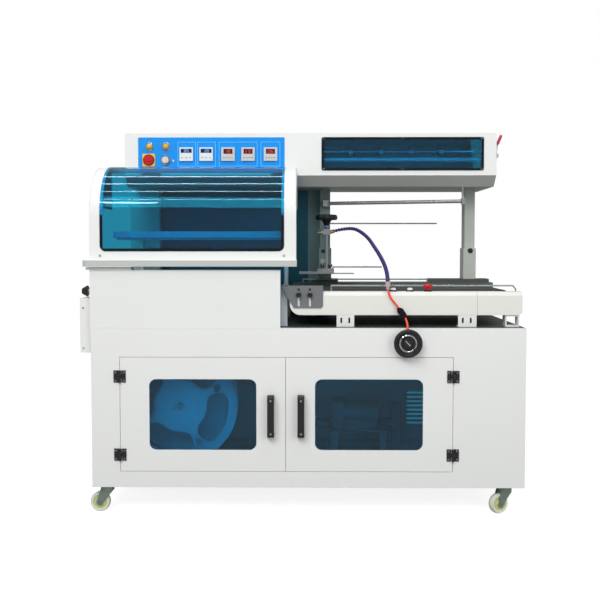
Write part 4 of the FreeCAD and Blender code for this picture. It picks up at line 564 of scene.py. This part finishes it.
grip_at = hub + Vector((0.024, 0, -0.024))
shaped([(0, 0.030), (0.0042, 0.030), (0.0042, 0.0345), (0, 0.0345)], grip_at, forward, wheel, 1)
shaped([(0, 0.0335), (0.0060, 0.0335), (0.0075, 0.038), (0.0070, 0.052), (0.0088, 0.062),
        (0.0086, 0.067), (0.006, 0.0695), (0, 0.0700)], grip_at, forward, wheel, 0)
finished("handwheel_dressed", wheel, [black_cast, chrome], "handwheel", ["handwheel"])

# ---------------------------------------------------------------- seal section and jaws
# Folded white cover whose white chamber back carries painted shade in green-grey, with darker teal towards the
# left that is partly the back's own tint and partly painted shade; and the L-shaped jaws on their columns.

# the lighter edge colour of this white coat is a painted edge highlight
cover_coat = skinned("seal section coat with painted shade", tone(231, 232, 230), tone(226, 228, 226), 0.36, 0.46,
                     Cloud_size=2.2, Grain_size=900.0, Worn=tone(240, 240, 238), Wear=0.5)
# painted shade: the white chamber back in grey-green
tinted(cover_coat, tone(118, 134, 128), (-1, 0.2985, 0.6), (0.2, 0.4, 1.3))
# dark teal on the chamber back left of the mid post: partly the back's own tint, partly painted shade
tinted(cover_coat, tone(22, 84, 98), (-1, 0.2985, 0.6), (0.022, 0.4, 1.3))
dress(cover_coat, "seal_section")
dress(white_coat, "side_box")
steel = skinned("bright steel", tone(176, 178, 180), tone(150, 153, 156), 0.22, 0.4,
                constants={"Metallic": 1.0}, Cloud_size=12.0)
jaw_coat = skinned("light jaw paint", tone(206, 214, 218), tone(190, 200, 206), 0.3, 0.42,
                   Cloud_size=9.0)
dress(jaw_coat, "upper_jaw", "lower_jaw")
dress(steel, "jaw_cylinders")

# ---------------------------------------------------------------- belts
# Dark green-grey PVC belts on steel drums, in painted slider beds; the front beam is folded from
# two lengths that meet in a seam.

belt_rubber = skinned("belt rubber", tone(62, 66, 66), tone(50, 54, 54), 0.5, 0.7, 0.00008,
                      Cloud_size=8.0, Grain_size=350.0)
dress(belt_rubber, "infeed_belt", "output_belt")
dress(steel, "infeed_drum_left", "infeed_drum_right", "output_drum_left", "output_drum_right")
beam_coat = skinned("beam coat", tone(228, 228, 222), tone(222, 223, 217), 0.36, 0.46,
                    Cloud_size=2.2, Grain_size=900.0)
tinted(beam_coat, tone(150, 152, 148), (0.6535, -0.31, 0.74), (0.6548, -0.2, 0.84))
tinted(beam_coat, tone(30, 30, 32), (-0.1, -0.3, 0.8311), (0.9, -0.2, 0.84))
dress(beam_coat, "infeed_front_beam")
dress(white_coat, "output_bed", "support_brackets")
bed_coat = skinned("bed paint", tone(92, 100, 96), tone(78, 86, 82), 0.42, 0.56, Cloud_size=5.0)
dress(bed_coat, "infeed_bed")

# ---------------------------------------------------------------- hood
# A folded frame with a window of the same tinted acrylic; its bottom rail is a grey extrusion, and the
# inner faces of its end plates carry painted shade in dark blue.

# the lighter edge colour of this white coat is a painted edge highlight
hood_coat = skinned("hood coat with painted shade", tone(231, 232, 230), tone(226, 228, 226), 0.36, 0.46,
                    Cloud_size=2.2, Grain_size=900.0, Worn=tone(240, 240, 238), Wear=0.5)
tinted(hood_coat, tone(186, 190, 186), (-0.9, -0.4, 0.92), (0.1, -0.346, 0.9492))
# painted shade: the inner faces of the hood's white end plates in dark blue
for inner_face in (-0.780, -0.025):
    tinted(hood_coat, tone(44, 74, 92), (inner_face - 0.0003, -0.339, 0.951),
           (inner_face + 0.0003, 0.1, 1.302))
dress(hood_coat, "hood_frame")
dress(acrylic, "hood_window")

# ---------------------------------------------------------------- upper box
# Folded white sheet whose downward-facing chin carries painted shade in grey; the film bay behind the window is
# dark inside.

box_coat_painted_chin_shade = skinned("upper box coat with painted chin shade", tone(231, 232, 230), tone(226, 228, 226), 0.36, 0.46,
                   Cloud_size=2.2, Grain_size=900.0)
# painted shade: the downward-facing chin of the white box in grey
tinted(box_coat_painted_chin_shade, tone(176, 179, 174), (-0.76, -0.1, 1.24), (0.8, 0.43, 1.2908))
dress(box_coat_painted_chin_shade, "upper_box")
dress(acrylic, "film_window")
dress(chrome, "perforator_shaft")

# ---------------------------------------------------------------- control panel
# Blue overlay film with pale printed frames. Five square instruments with a white or grey bezel,
# a dark display with plain digits and small keys; two amber lamps in chrome rings; the main switch
# on its yellow plate; a key selector in a chrome ring.

overlay_blue = skinned("blue overlay film", tone(14, 150, 238), tone(8, 138, 228), 0.22, 0.3,
                       Cloud_size=5.0)
dress(overlay_blue, "control_overlay")
white_bezel = skinned("white bezel", tone(232, 234, 234), tone(222, 225, 226), 0.3, 0.42, Cloud_size=30.0)
grey_bezel = skinned("grey bezel", tone(206, 206, 204), tone(196, 197, 196), 0.3, 0.42, Cloud_size=30.0)
navy_screen = new_material("navy display", Base_Color=tone(20, 30, 84), Roughness=0.12)
red_screen = new_material("dark red display", Base_Color=tone(74, 18, 26), Roughness=0.12)
pale_digits = new_material("pale digits", Base_Color=tone(150, 190, 230), Roughness=0.4,
                           Emission_Color=tone(110, 160, 225), Emission_Strength=0.5)
red_digits = new_material("red digits", Base_Color=tone(220, 60, 50), Roughness=0.4,
                          Emission_Color=tone(235, 60, 45), Emission_Strength=0.7)
key_grey = skinned("key rubber", tone(150, 152, 156), tone(134, 137, 142), 0.5, 0.6, Cloud_size=60.0)
pale_line = new_material("pale printed line", Base_Color=tone(96, 190, 246), Roughness=0.35)

PANEL_FACE = 0.0135
GAUGE_SIDE, GAUGE_LEVEL, GAUGE_PROUD = 0.055, 1.377, 0.008
SEGMENTS = {"0": "abcdef", "1": "bc", "2": "abdeg", "3": "abcdg", "4": "bcfg", "5": "acdfg",
            "6": "acdefg", "7": "abc", "8": "abcdefg", "9": "abcdfg"}
BARS = {"a": (0, 1, 0), "b": (0.5, 0.5, 1), "c": (0.5, -0.5, 1), "d": (0, -1, 0),
        "e": (-0.5, -0.5, 1), "f": (-0.5, 0.5, 1), "g": (0, 0, 0)}


def digits(text, centre, tall, bm, material):
    """Seven-segment digits standing a hair proud of a display."""
    wide, bar = tall * 0.5, tall * 0.1
    for place, digit in enumerate(text):
        left = centre.x + (place - (len(text) - 1) / 2) * wide * 1.45
        for name in SEGMENTS[digit]:
            across, up, upright = BARS[name]
            spot = Vector((left + across * wide, centre.y, centre.z + up * tall / 2))
            half = (bar / 2, 0, tall * 0.21) if upright else (wide * 0.38, 0, bar / 2)
            half = Vector(half) + Vector((0, 0.0002, 0))
            slab(spot - half, spot + half, bm, 0, material)


def window_ring(low, high, hole_low, hole_high, bm, material):
    """A rectangular plate with a rectangular window; the corners are given in x, y and z."""
    loops = []
    for corner_a, corner_b in ((low, high), (hole_low, hole_high)):
        for deep in (low.y, high.y):
            loops.append([bm.verts.new((x, deep, z)) for x, z in (
                (corner_a.x, corner_a.z), (corner_b.x, corner_a.z),
                (corner_b.x, corner_b.z), (corner_a.x, corner_b.z))])
    outer_near, outer_far, inner_near, inner_far = loops
    for first, second in ((outer_near, outer_far), (outer_far, inner_far), (inner_far, inner_near),
                          (inner_near, outer_near)):
        for number in range(4):
            after = (number + 1) % 4
            face = bm.faces.new([first[number], first[after], second[after], second[number]])
            face.material_index = material


GAUGES = ((-0.476, "timer", "305"), (-0.3945, "timer", "120"), (-0.305, "heat", "185"),
          (-0.223, "heat", "210"), (-0.1315, "heat", "096"))
for number, (across, kind, text) in enumerate(GAUGES):
    half = GAUGE_SIDE / 2
    face = PANEL_FACE - GAUGE_PROUD
    screen_low, screen_high, screen_half = (0.005, 0.022, 0.0225) if kind == "timer" else (0.001, 0.021, 0.0185)
    gauge = bmesh.new()
    window_ring(Vector((across - half, face, GAUGE_LEVEL - half)),
                Vector((across + half, PANEL_FACE, GAUGE_LEVEL + half)),
                Vector((across - screen_half, face, GAUGE_LEVEL + screen_low)),
                Vector((across + screen_half, PANEL_FACE, GAUGE_LEVEL + screen_high)), gauge, 0)
    slab((across - screen_half - 0.001, face + 0.0018, GAUGE_LEVEL + screen_low - 0.001),
         (across + screen_half + 0.001, PANEL_FACE - 0.001, GAUGE_LEVEL + screen_high + 0.001), gauge, 0, 1)
    digits(text, Vector((across, face + 0.0017, GAUGE_LEVEL + (screen_low + screen_high) / 2)),
           0.011, gauge, 2)
    for key in range(4 if kind == "heat" else 3):
        spot = Vector((across - 0.0165 + key * (0.011 if kind == "heat" else 0.0165), face, GAUGE_LEVEL - 0.014))
        slab(spot - Vector((0.0034, 0.0012, 0.0026)), spot + Vector((0.0034, 0.001, 0.0026)), gauge, 0.0008, 3)
    finished(f"gauge_{number}", gauge,
             [white_bezel, navy_screen, pale_digits, key_grey] if kind == "timer"
             else [grey_bezel, red_screen, red_digits, key_grey],
             "machine", ["panel_instruments"])

for number, (left, right) in enumerate(((-0.512, -0.437), (-0.431, -0.356), (-0.343, -0.185), (-0.172, -0.092))):
    border = bmesh.new()
    line = 0.0022
    window_ring(Vector((left, PANEL_FACE - 0.0003, 1.328)), Vector((right, PANEL_FACE + 0.0002, 1.428)),
                Vector((left + line, PANEL_FACE - 0.0003, 1.328 + line)),
                Vector((right - line, PANEL_FACE + 0.0002, 1.428 - line)), border, 0)
    finished(f"printed_frame_{number}", border, [pale_line], "machine")

amber = skinned("amber lamp lens", tone(226, 190, 96), tone(206, 164, 66), 0.12, 0.2, Cloud_size=60.0)
yellow_plate = skinned("yellow plate", tone(240, 196, 60), tone(230, 184, 44), 0.3, 0.4, Cloud_size=20.0)
for number, across in enumerate((-0.6275, -0.560)):
    lamp = bmesh.new()
    spot = Vector((across, PANEL_FACE, 1.408))
    shaped([(0, -0.0005), (0.0175, -0.0005), (0.0175, 0.002), (0.0155, 0.0042), (0.0125, 0.0042), (0.0125, 0.003),
            (0, 0.003)], spot, forward, lamp, 0)
    shaped([(0, 0.002), (0.0122, 0.002)]
           + [(0.0122 * math.cos(math.radians(step)), 0.0035 + 0.0115 * math.sin(math.radians(step)))
              for step in range(0, 90, 15)] + [(0, 0.0150)], spot, forward, lamp, 1)
    finished(f"amber_lamp_{number}", lamp, [chrome, amber], "machine", ["panel_instruments"])
plate = bmesh.new()
centre = Vector((-0.630, PANEL_FACE, 1.353))
slab(centre - Vector((0.026, 0.006, 0.026)), centre + Vector((0.026, -0.0001, 0.026)), plate, 0.0025, 0)
shaped([(0, 0.0058), (0.0235, 0.0058), (0.0235, 0.0061), (0, 0.0061)], centre, forward, plate, 1, 48)
finished("main_switch_plate", plate, [yellow_plate, black_cast], "machine",
         ["panel_instruments"])
ring = bmesh.new()
centre = Vector((-0.561, PANEL_FACE, 1.353))
shaped([(0, -0.0003), (0.022, -0.0003), (0.022, 0.002), (0.0195, 0.005), (0.0155, 0.005), (0.0150, 0.0045),
        (0, 0.0045)], centre, forward, ring, 0, 48)
shaped([(0, 0), (0.0038, 0), (0.0038, 0.003), (0.002, 0.0042), (0, 0.0042)],
       centre + Vector((0.031, 0, -0.003)), forward, ring, 1)
finished("key_switch_ring", ring, [chrome, white_bezel], "machine", ["panel_instruments"])
red_plastic = skinned("red plastic", tone(206, 26, 34), tone(188, 20, 28), 0.24, 0.36,
                      Cloud_size=20.0)
dress(red_plastic, "main_switch", "estop_button")
key_finish = skinned("key selector", tone(52, 56, 66), tone(40, 44, 54), 0.2, 0.3, Cloud_size=60.0)
tinted(key_finish, tone(214, 218, 224), (-0.6, -0.02, 1.3), (-0.5, 0.0003, 1.4))
dress(key_finish, "key_switch")

# ---------------------------------------------------------------- nip lever
# A plated hub and shank with a pushed-on grip of dark pink plastic, over the upper half.

lever_finish = skinned("lever grip and shank", tone(206, 66, 104), tone(188, 52, 90), 0.26, 0.36,
                       Cloud_size=40.0)
tinted(lever_finish, tone(206, 210, 208), (0.7, -0.5, 1.30), (0.9, 0.5, 1.418))
dress(lever_finish, "nip_lever")

# ---------------------------------------------------------------- posts, brackets, rods
# Welded posts in machine paint with dark foot plates; the mid post, where it stands in the chamber, carries
# painted shade in grey-green.

post_coat = skinned("post paint", tone(186, 191, 184), tone(174, 180, 172), 0.4, 0.5, Cloud_size=3.0)
# painted shade: the mid post's part inside the chamber in grey-green
tinted(post_coat, tone(120, 134, 128), (-0.1, 0.2, 0.84), (0.3, 0.4, 1.3))
tinted(post_coat, tone(78, 81, 81), (0.0, 0.0, 0.843), (0.9, 0.4, 0.8595))
dress(post_coat, "posts")
plate_grey = skinned("grey bracket paint", tone(116, 120, 122), tone(104, 108, 112), 0.4, 0.55,
                     Cloud_size=10.0)
dress(plate_grey, "slotted_bracket")
guide_steel = skinned("brushed guide steel", tone(196, 199, 198), tone(176, 180, 180), 0.25, 0.4,
                      constants={"Metallic": 0.8}, Cloud_size=14.0)
dress(guide_steel, "film_guide")
dress(guide_steel, "guide_rods", "free_roller")

# ---------------------------------------------------------------- hand screws
# Black lobed knobs on plated studs: two clamp the slotted bracket, one each sleeve; two winged
# screws hold the film plate, and a cone knob closes the side box.

KNOB_LOBES = 6
knobs = bmesh.new()
low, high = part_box("slotted_bracket")
for across in (-0.013, 0.029):
    shaped([(0, -0.0055), (0.0035, -0.0055), (0.0035, 0.004), (0, 0.004)],
           (across, -0.295, 0.820), forward, knobs, 1)
    shaped([(0, 0.0036), (0.0075, 0.0036), (0.0100, 0.0065), (0.0102, 0.0160), (0.0085, 0.0185), (0, 0.0190)],
           (across, -0.295, 0.820), forward, knobs, 0, 48, KNOB_LOBES, 0.16)
post_face = 0.240
for across, level, reach in ((0.729, 0.982, 0.012), (0.0885, 0.980, 0.009)):
    shaped([(0, 0), (0.004, 0), (0.004, 0.010), (0, 0.010)], (across, post_face, level), forward, knobs, 1)
    shaped([(0, 0.006), (reach * 0.7, 0.006), (reach, 0.010), (reach, 0.022), (reach * 0.85, 0.0255), (0, 0.026)],
           (across, post_face, level), forward, knobs, 0, 48, KNOB_LOBES, 0.16)
for across in (0.082, 0.115):
    up = (0, 0, 1)
    shaped([(0, 0), (0.004, 0), (0.004, 0.009), (0, 0.009)], (across, 0.105, 0.905), up, knobs, 1)
    shaped([(0, 0.006), (0.0060, 0.006), (0.0052, 0.012), (0.0040, 0.014), (0, 0.0145)],
           (across, 0.105, 0.905), up, knobs, 0)
    for side in (-1, 1):
        lean = (Matrix.Translation((across + side * 0.0052, 0.105, 0.9185))
                @ Matrix.Rotation(math.radians(side * 24), 4, "Y"))
        slab((-0.0034, -0.0022, -0.0070), (0.0034, 0.0022, 0.0066), knobs, 0.0016, 0, lean)
shaped([(0, 0), (0.0065, 0), (0.0065, 0.020), (0, 0.020)], (-0.783, -0.300, 0.834), (-1, 0, 0), knobs, 1)
shaped([(0, 0.017), (0.0190, 0.017), (0.0210, 0.0185), (0.0205, 0.021), (0.0115, 0.0375), (0.010, 0.039),
        (0, 0.039)], (-0.783, -0.300, 0.834), (-1, 0, 0), knobs, 0, 40)
finished("hand_screws", knobs, [black_cast, bright_zinc], "machine", ["clamp_knobs"])

# ---------------------------------------------------------------- guide knob
# A wide black star knob with a coned hub on the guide's spindle, over a blue ring.

blue_ring = skinned("blue nylon ring", tone(36, 92, 190), tone(28, 78, 170), 0.3, 0.42, Cloud_size=50.0)
knob = bmesh.new()
spindle = Vector((0.100, 0.105, 0))
shaped([(0, 1.1105), (0.041, 1.1115), (0.0445, 1.1150), (0.046, 1.1215), (0.0445, 1.1290), (0.040, 1.1335),
        (0.014, 1.1355), (0, 1.1360)], spindle, (0, 0, 1), knob, 0, 96, 8, 0.07)
shaped([(0, 1.0884), (0.0105, 1.0884), (0.0125, 1.0950), (0.0165, 1.1020), (0.022, 1.1118), (0, 1.1125)],
       spindle, (0, 0, 1), knob, 0, 48)
finished("guide_knob_dressed", knob, [black_cast], "guide_knob", ["guide_knob"])
collar = bmesh.new()
shaped([(0, 1.0735), (0.0125, 1.0735), (0.0130, 1.0745), (0.0130, 1.0790), (0.0120, 1.0800), (0, 1.0800)],
       spindle, (0, 0, 1), collar, 0)
shaped([(0, 1.0795), (0.0095, 1.0795), (0.0095, 1.0872), (0, 1.0872)], spindle, (0, 0, 1), collar, 1)
finished("guide_collar", collar, [blue_ring, bright_zinc], "machine")

# ---------------------------------------------------------------- push buttons
# White start and stop buttons and a red mushroom head, each in a black ring on the beam's top.

dress(white_plastic, "start_button", "stop_button")
# ---------------------------------------------------------------- jointed air hose
# Dark blue ball-and-socket coolant hose: equal moulded links that hold the bend they are given.

HOSE_ROUTE = ((0.128, 0.105, 1.064), (0.165, 0.092, 1.073), (0.209, 0.060, 1.076), (0.235, 0.028, 1.064),
              (0.266, -0.022, 1.036), (0.284, -0.066, 1.004), (0.302, -0.122, 0.970),
              (0.315, -0.182, 0.937), (0.321, -0.232, 0.907), (0.321, -0.272, 0.884),
              (0.319, -0.302, 0.868))
hose_blue = skinned("blue hose plastic", tone(52, 44, 110), tone(38, 33, 90), 0.3, 0.45, Cloud_size=60.0)
link_tree, given, made_of = new_geometry_tree("links along a line", [
    ("Pitch", "Float"), ("Radius", "Float"), ("Material", "Material")])
pitch, radius = given.outputs["Pitch"], given.outputs["Radius"]
line = add_node(link_tree, "GeometryNodeMeshToCurve", {"Mesh": given.outputs["Geometry"]})
beads = add_node(link_tree, "GeometryNodeResampleCurve",
                 {"Curve": line.outputs[0], "Length": pitch}, mode="LENGTH")
socket_end = add_node(link_tree, "GeometryNodeMeshCone", {
    "Vertices": 20, "Radius Top": multiplied(link_tree, radius, 0.6), "Radius Bottom": radius,
    "Depth": multiplied(link_tree, pitch, 0.6)})
ball_end = add_node(link_tree, "GeometryNodeMeshUVSphere", {
    "Segments": 20, "Rings": 12, "Radius": multiplied(link_tree, radius, 0.62)})
link = add_node(link_tree, "GeometryNodeJoinGeometry")
link_tree.links.new(socket_end.outputs["Mesh"], link.inputs[0])
link_tree.links.new(ball_end.outputs["Mesh"], link.inputs[0])
tangent = add_node(link_tree, "GeometryNodeInputTangent")
along = add_node(link_tree, "FunctionNodeAlignRotationToVector",
                 {"Vector": tangent.outputs[0]}, axis="Z")
strung = add_node(link_tree, "GeometryNodeInstanceOnPoints", {
    "Points": beads.outputs[0], "Instance": link.outputs[0], "Rotation": along.outputs[0]})
solid = add_node(link_tree, "GeometryNodeRealizeInstances", {"Geometry": strung.outputs[0]})
coated = add_node(link_tree, "GeometryNodeSetMaterial", {
    "Geometry": solid.outputs[0], "Material": given.outputs["Material"]})
link_tree.links.new(coated.outputs[0], made_of.inputs["Geometry"])

spine = [Vector(HOSE_ROUTE[0])]
route = [Vector(spot) for spot in HOSE_ROUTE]
for before, here, after in zip(route, route[1:], route[2:]):
    start, end = (before + here) / 2, (here + after) / 2
    for step in range(8):
        part = step / 8
        spine.append(start * (1 - part) ** 2 + here * 2 * part * (1 - part) + end * part ** 2)
spine.append(route[-1])
line_mesh = bpy.data.meshes.new("hose line")
line_mesh.from_pydata(spine, [(number, number + 1) for number in range(len(spine) - 1)], [])
hose = grown("jointed_hose", line_mesh, link_tree, "machine", "hose_blue", Pitch=0.0125, Radius=0.0080,
             Material=hose_blue)
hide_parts("air_hose")

# ---------------------------------------------------------------- air fittings
# Brass nozzle and hose socket, a pale pink coupling above the beam, a black quick coupler between
# the two tubes and a black elbow behind the handwheel.

brass = skinned("fittings", tone(222, 206, 140), tone(204, 184, 112), 0.2, 0.35,
                constants={"Metallic": 0.6}, Cloud_size=40.0)
tinted(brass, tone(232, 206, 214), (0.2, -0.4, 0.84), (0.4, -0.2, 0.88))
tinted(brass, tone(34, 30, 36), (0.3, -0.4, 0.6), (0.45, -0.2, 0.79))
dress(brass, "air_fittings")

# ---------------------------------------------------------------- floor and light
# A pale floor and an even, soft studio light from the front and above, with four ceiling tubes.

FLOOR_SIDE = 14
floor_mesh = bpy.data.meshes.new("floor")
half = FLOOR_SIDE / 2
floor_mesh.from_pydata([(-half, -half, 0), (half, -half, 0), (half, half, 0), (-half, half, 0)], [],
                       [(0, 1, 2, 3)])
floor = bpy.data.objects.new("floor", floor_mesh)
scene.collection.objects.link(floor)
floor_finish = new_material("pale floor", Roughness=0.9, Specular_IOR_Level=0.1,
                            Emission_Color=(1, 1, 1, 1))
floor_nodes = floor_finish.node_tree
shader = floor_nodes.nodes["Principled BSDF"]
shader.inputs["Base Color"].default_value = (0.42, 0.42, 0.42, 1)
rays = floor_nodes.nodes.new("ShaderNodeLightPath")
lift = floor_nodes.nodes.new("ShaderNodeMath")
lift.operation = "MULTIPLY"
floor_nodes.links.new(rays.outputs["Is Camera Ray"], lift.inputs[0])
lift.inputs[1].default_value = 0.85
floor_nodes.links.new(lift.outputs[0], shader.inputs["Emission Strength"])
floor_mesh.materials.append(floor_finish)

world = bpy.data.worlds.new("studio")
scene.world = world
world.use_nodes = True
sky = world.node_tree
back_light = sky.nodes["Background"]
back_light.inputs["Color"].default_value = (1, 1, 1, 1)
seen = sky.nodes.new("ShaderNodeLightPath")
pick = sky.nodes.new("ShaderNodeMix")
pick.data_type = "FLOAT"
pick.inputs[2].default_value = 0.36
pick.inputs[3].default_value = 1.0
sky.links.new(seen.outputs["Is Camera Ray"], pick.inputs[0])
sky.links.new(pick.outputs[0], back_light.inputs["Strength"])


def soft_box(name, spot, aim, size, power, mirrored=True):
    """A rectangular area lamp aimed at a point; glossy surfaces mirror it or not."""
    lamp = bpy.data.lights.new(name, "AREA")
    lamp.shape = "RECTANGLE"
    lamp.size, lamp.size_y = size
    lamp.energy = power
    holder = bpy.data.objects.new(name, lamp)
    holder.location = spot
    holder.rotation_euler = (Vector(aim) - Vector(spot)).to_track_quat("-Z", "Y").to_euler()
    holder.visible_glossy = mirrored
    scene.collection.objects.link(holder)


soft_box("key", (-1.2, -4.2, 3.6), (0, 0, 0.7), (3.0, 2.0), 128, mirrored=False)
soft_box("fill", (2.6, -4.0, 2.2), (0, 0, 0.7), (2.4, 2.4), 52, mirrored=False)
soft_box("left_window", (-1.55, -3.75, 3.2), (-0.6, 0, 1.1), (0.55, 0.26), 6)
for number, (across, high) in enumerate(((-3.0, 3.3), (-1.6, 3.3), (-0.68, 3.3), (0.22, 3.3))):
    soft_box(f"ceiling_{number}", (-0.4, across, high), (-0.4, across, 0), (3.2, 0.07), 9)

scene.view_settings.view_transform = "Standard"
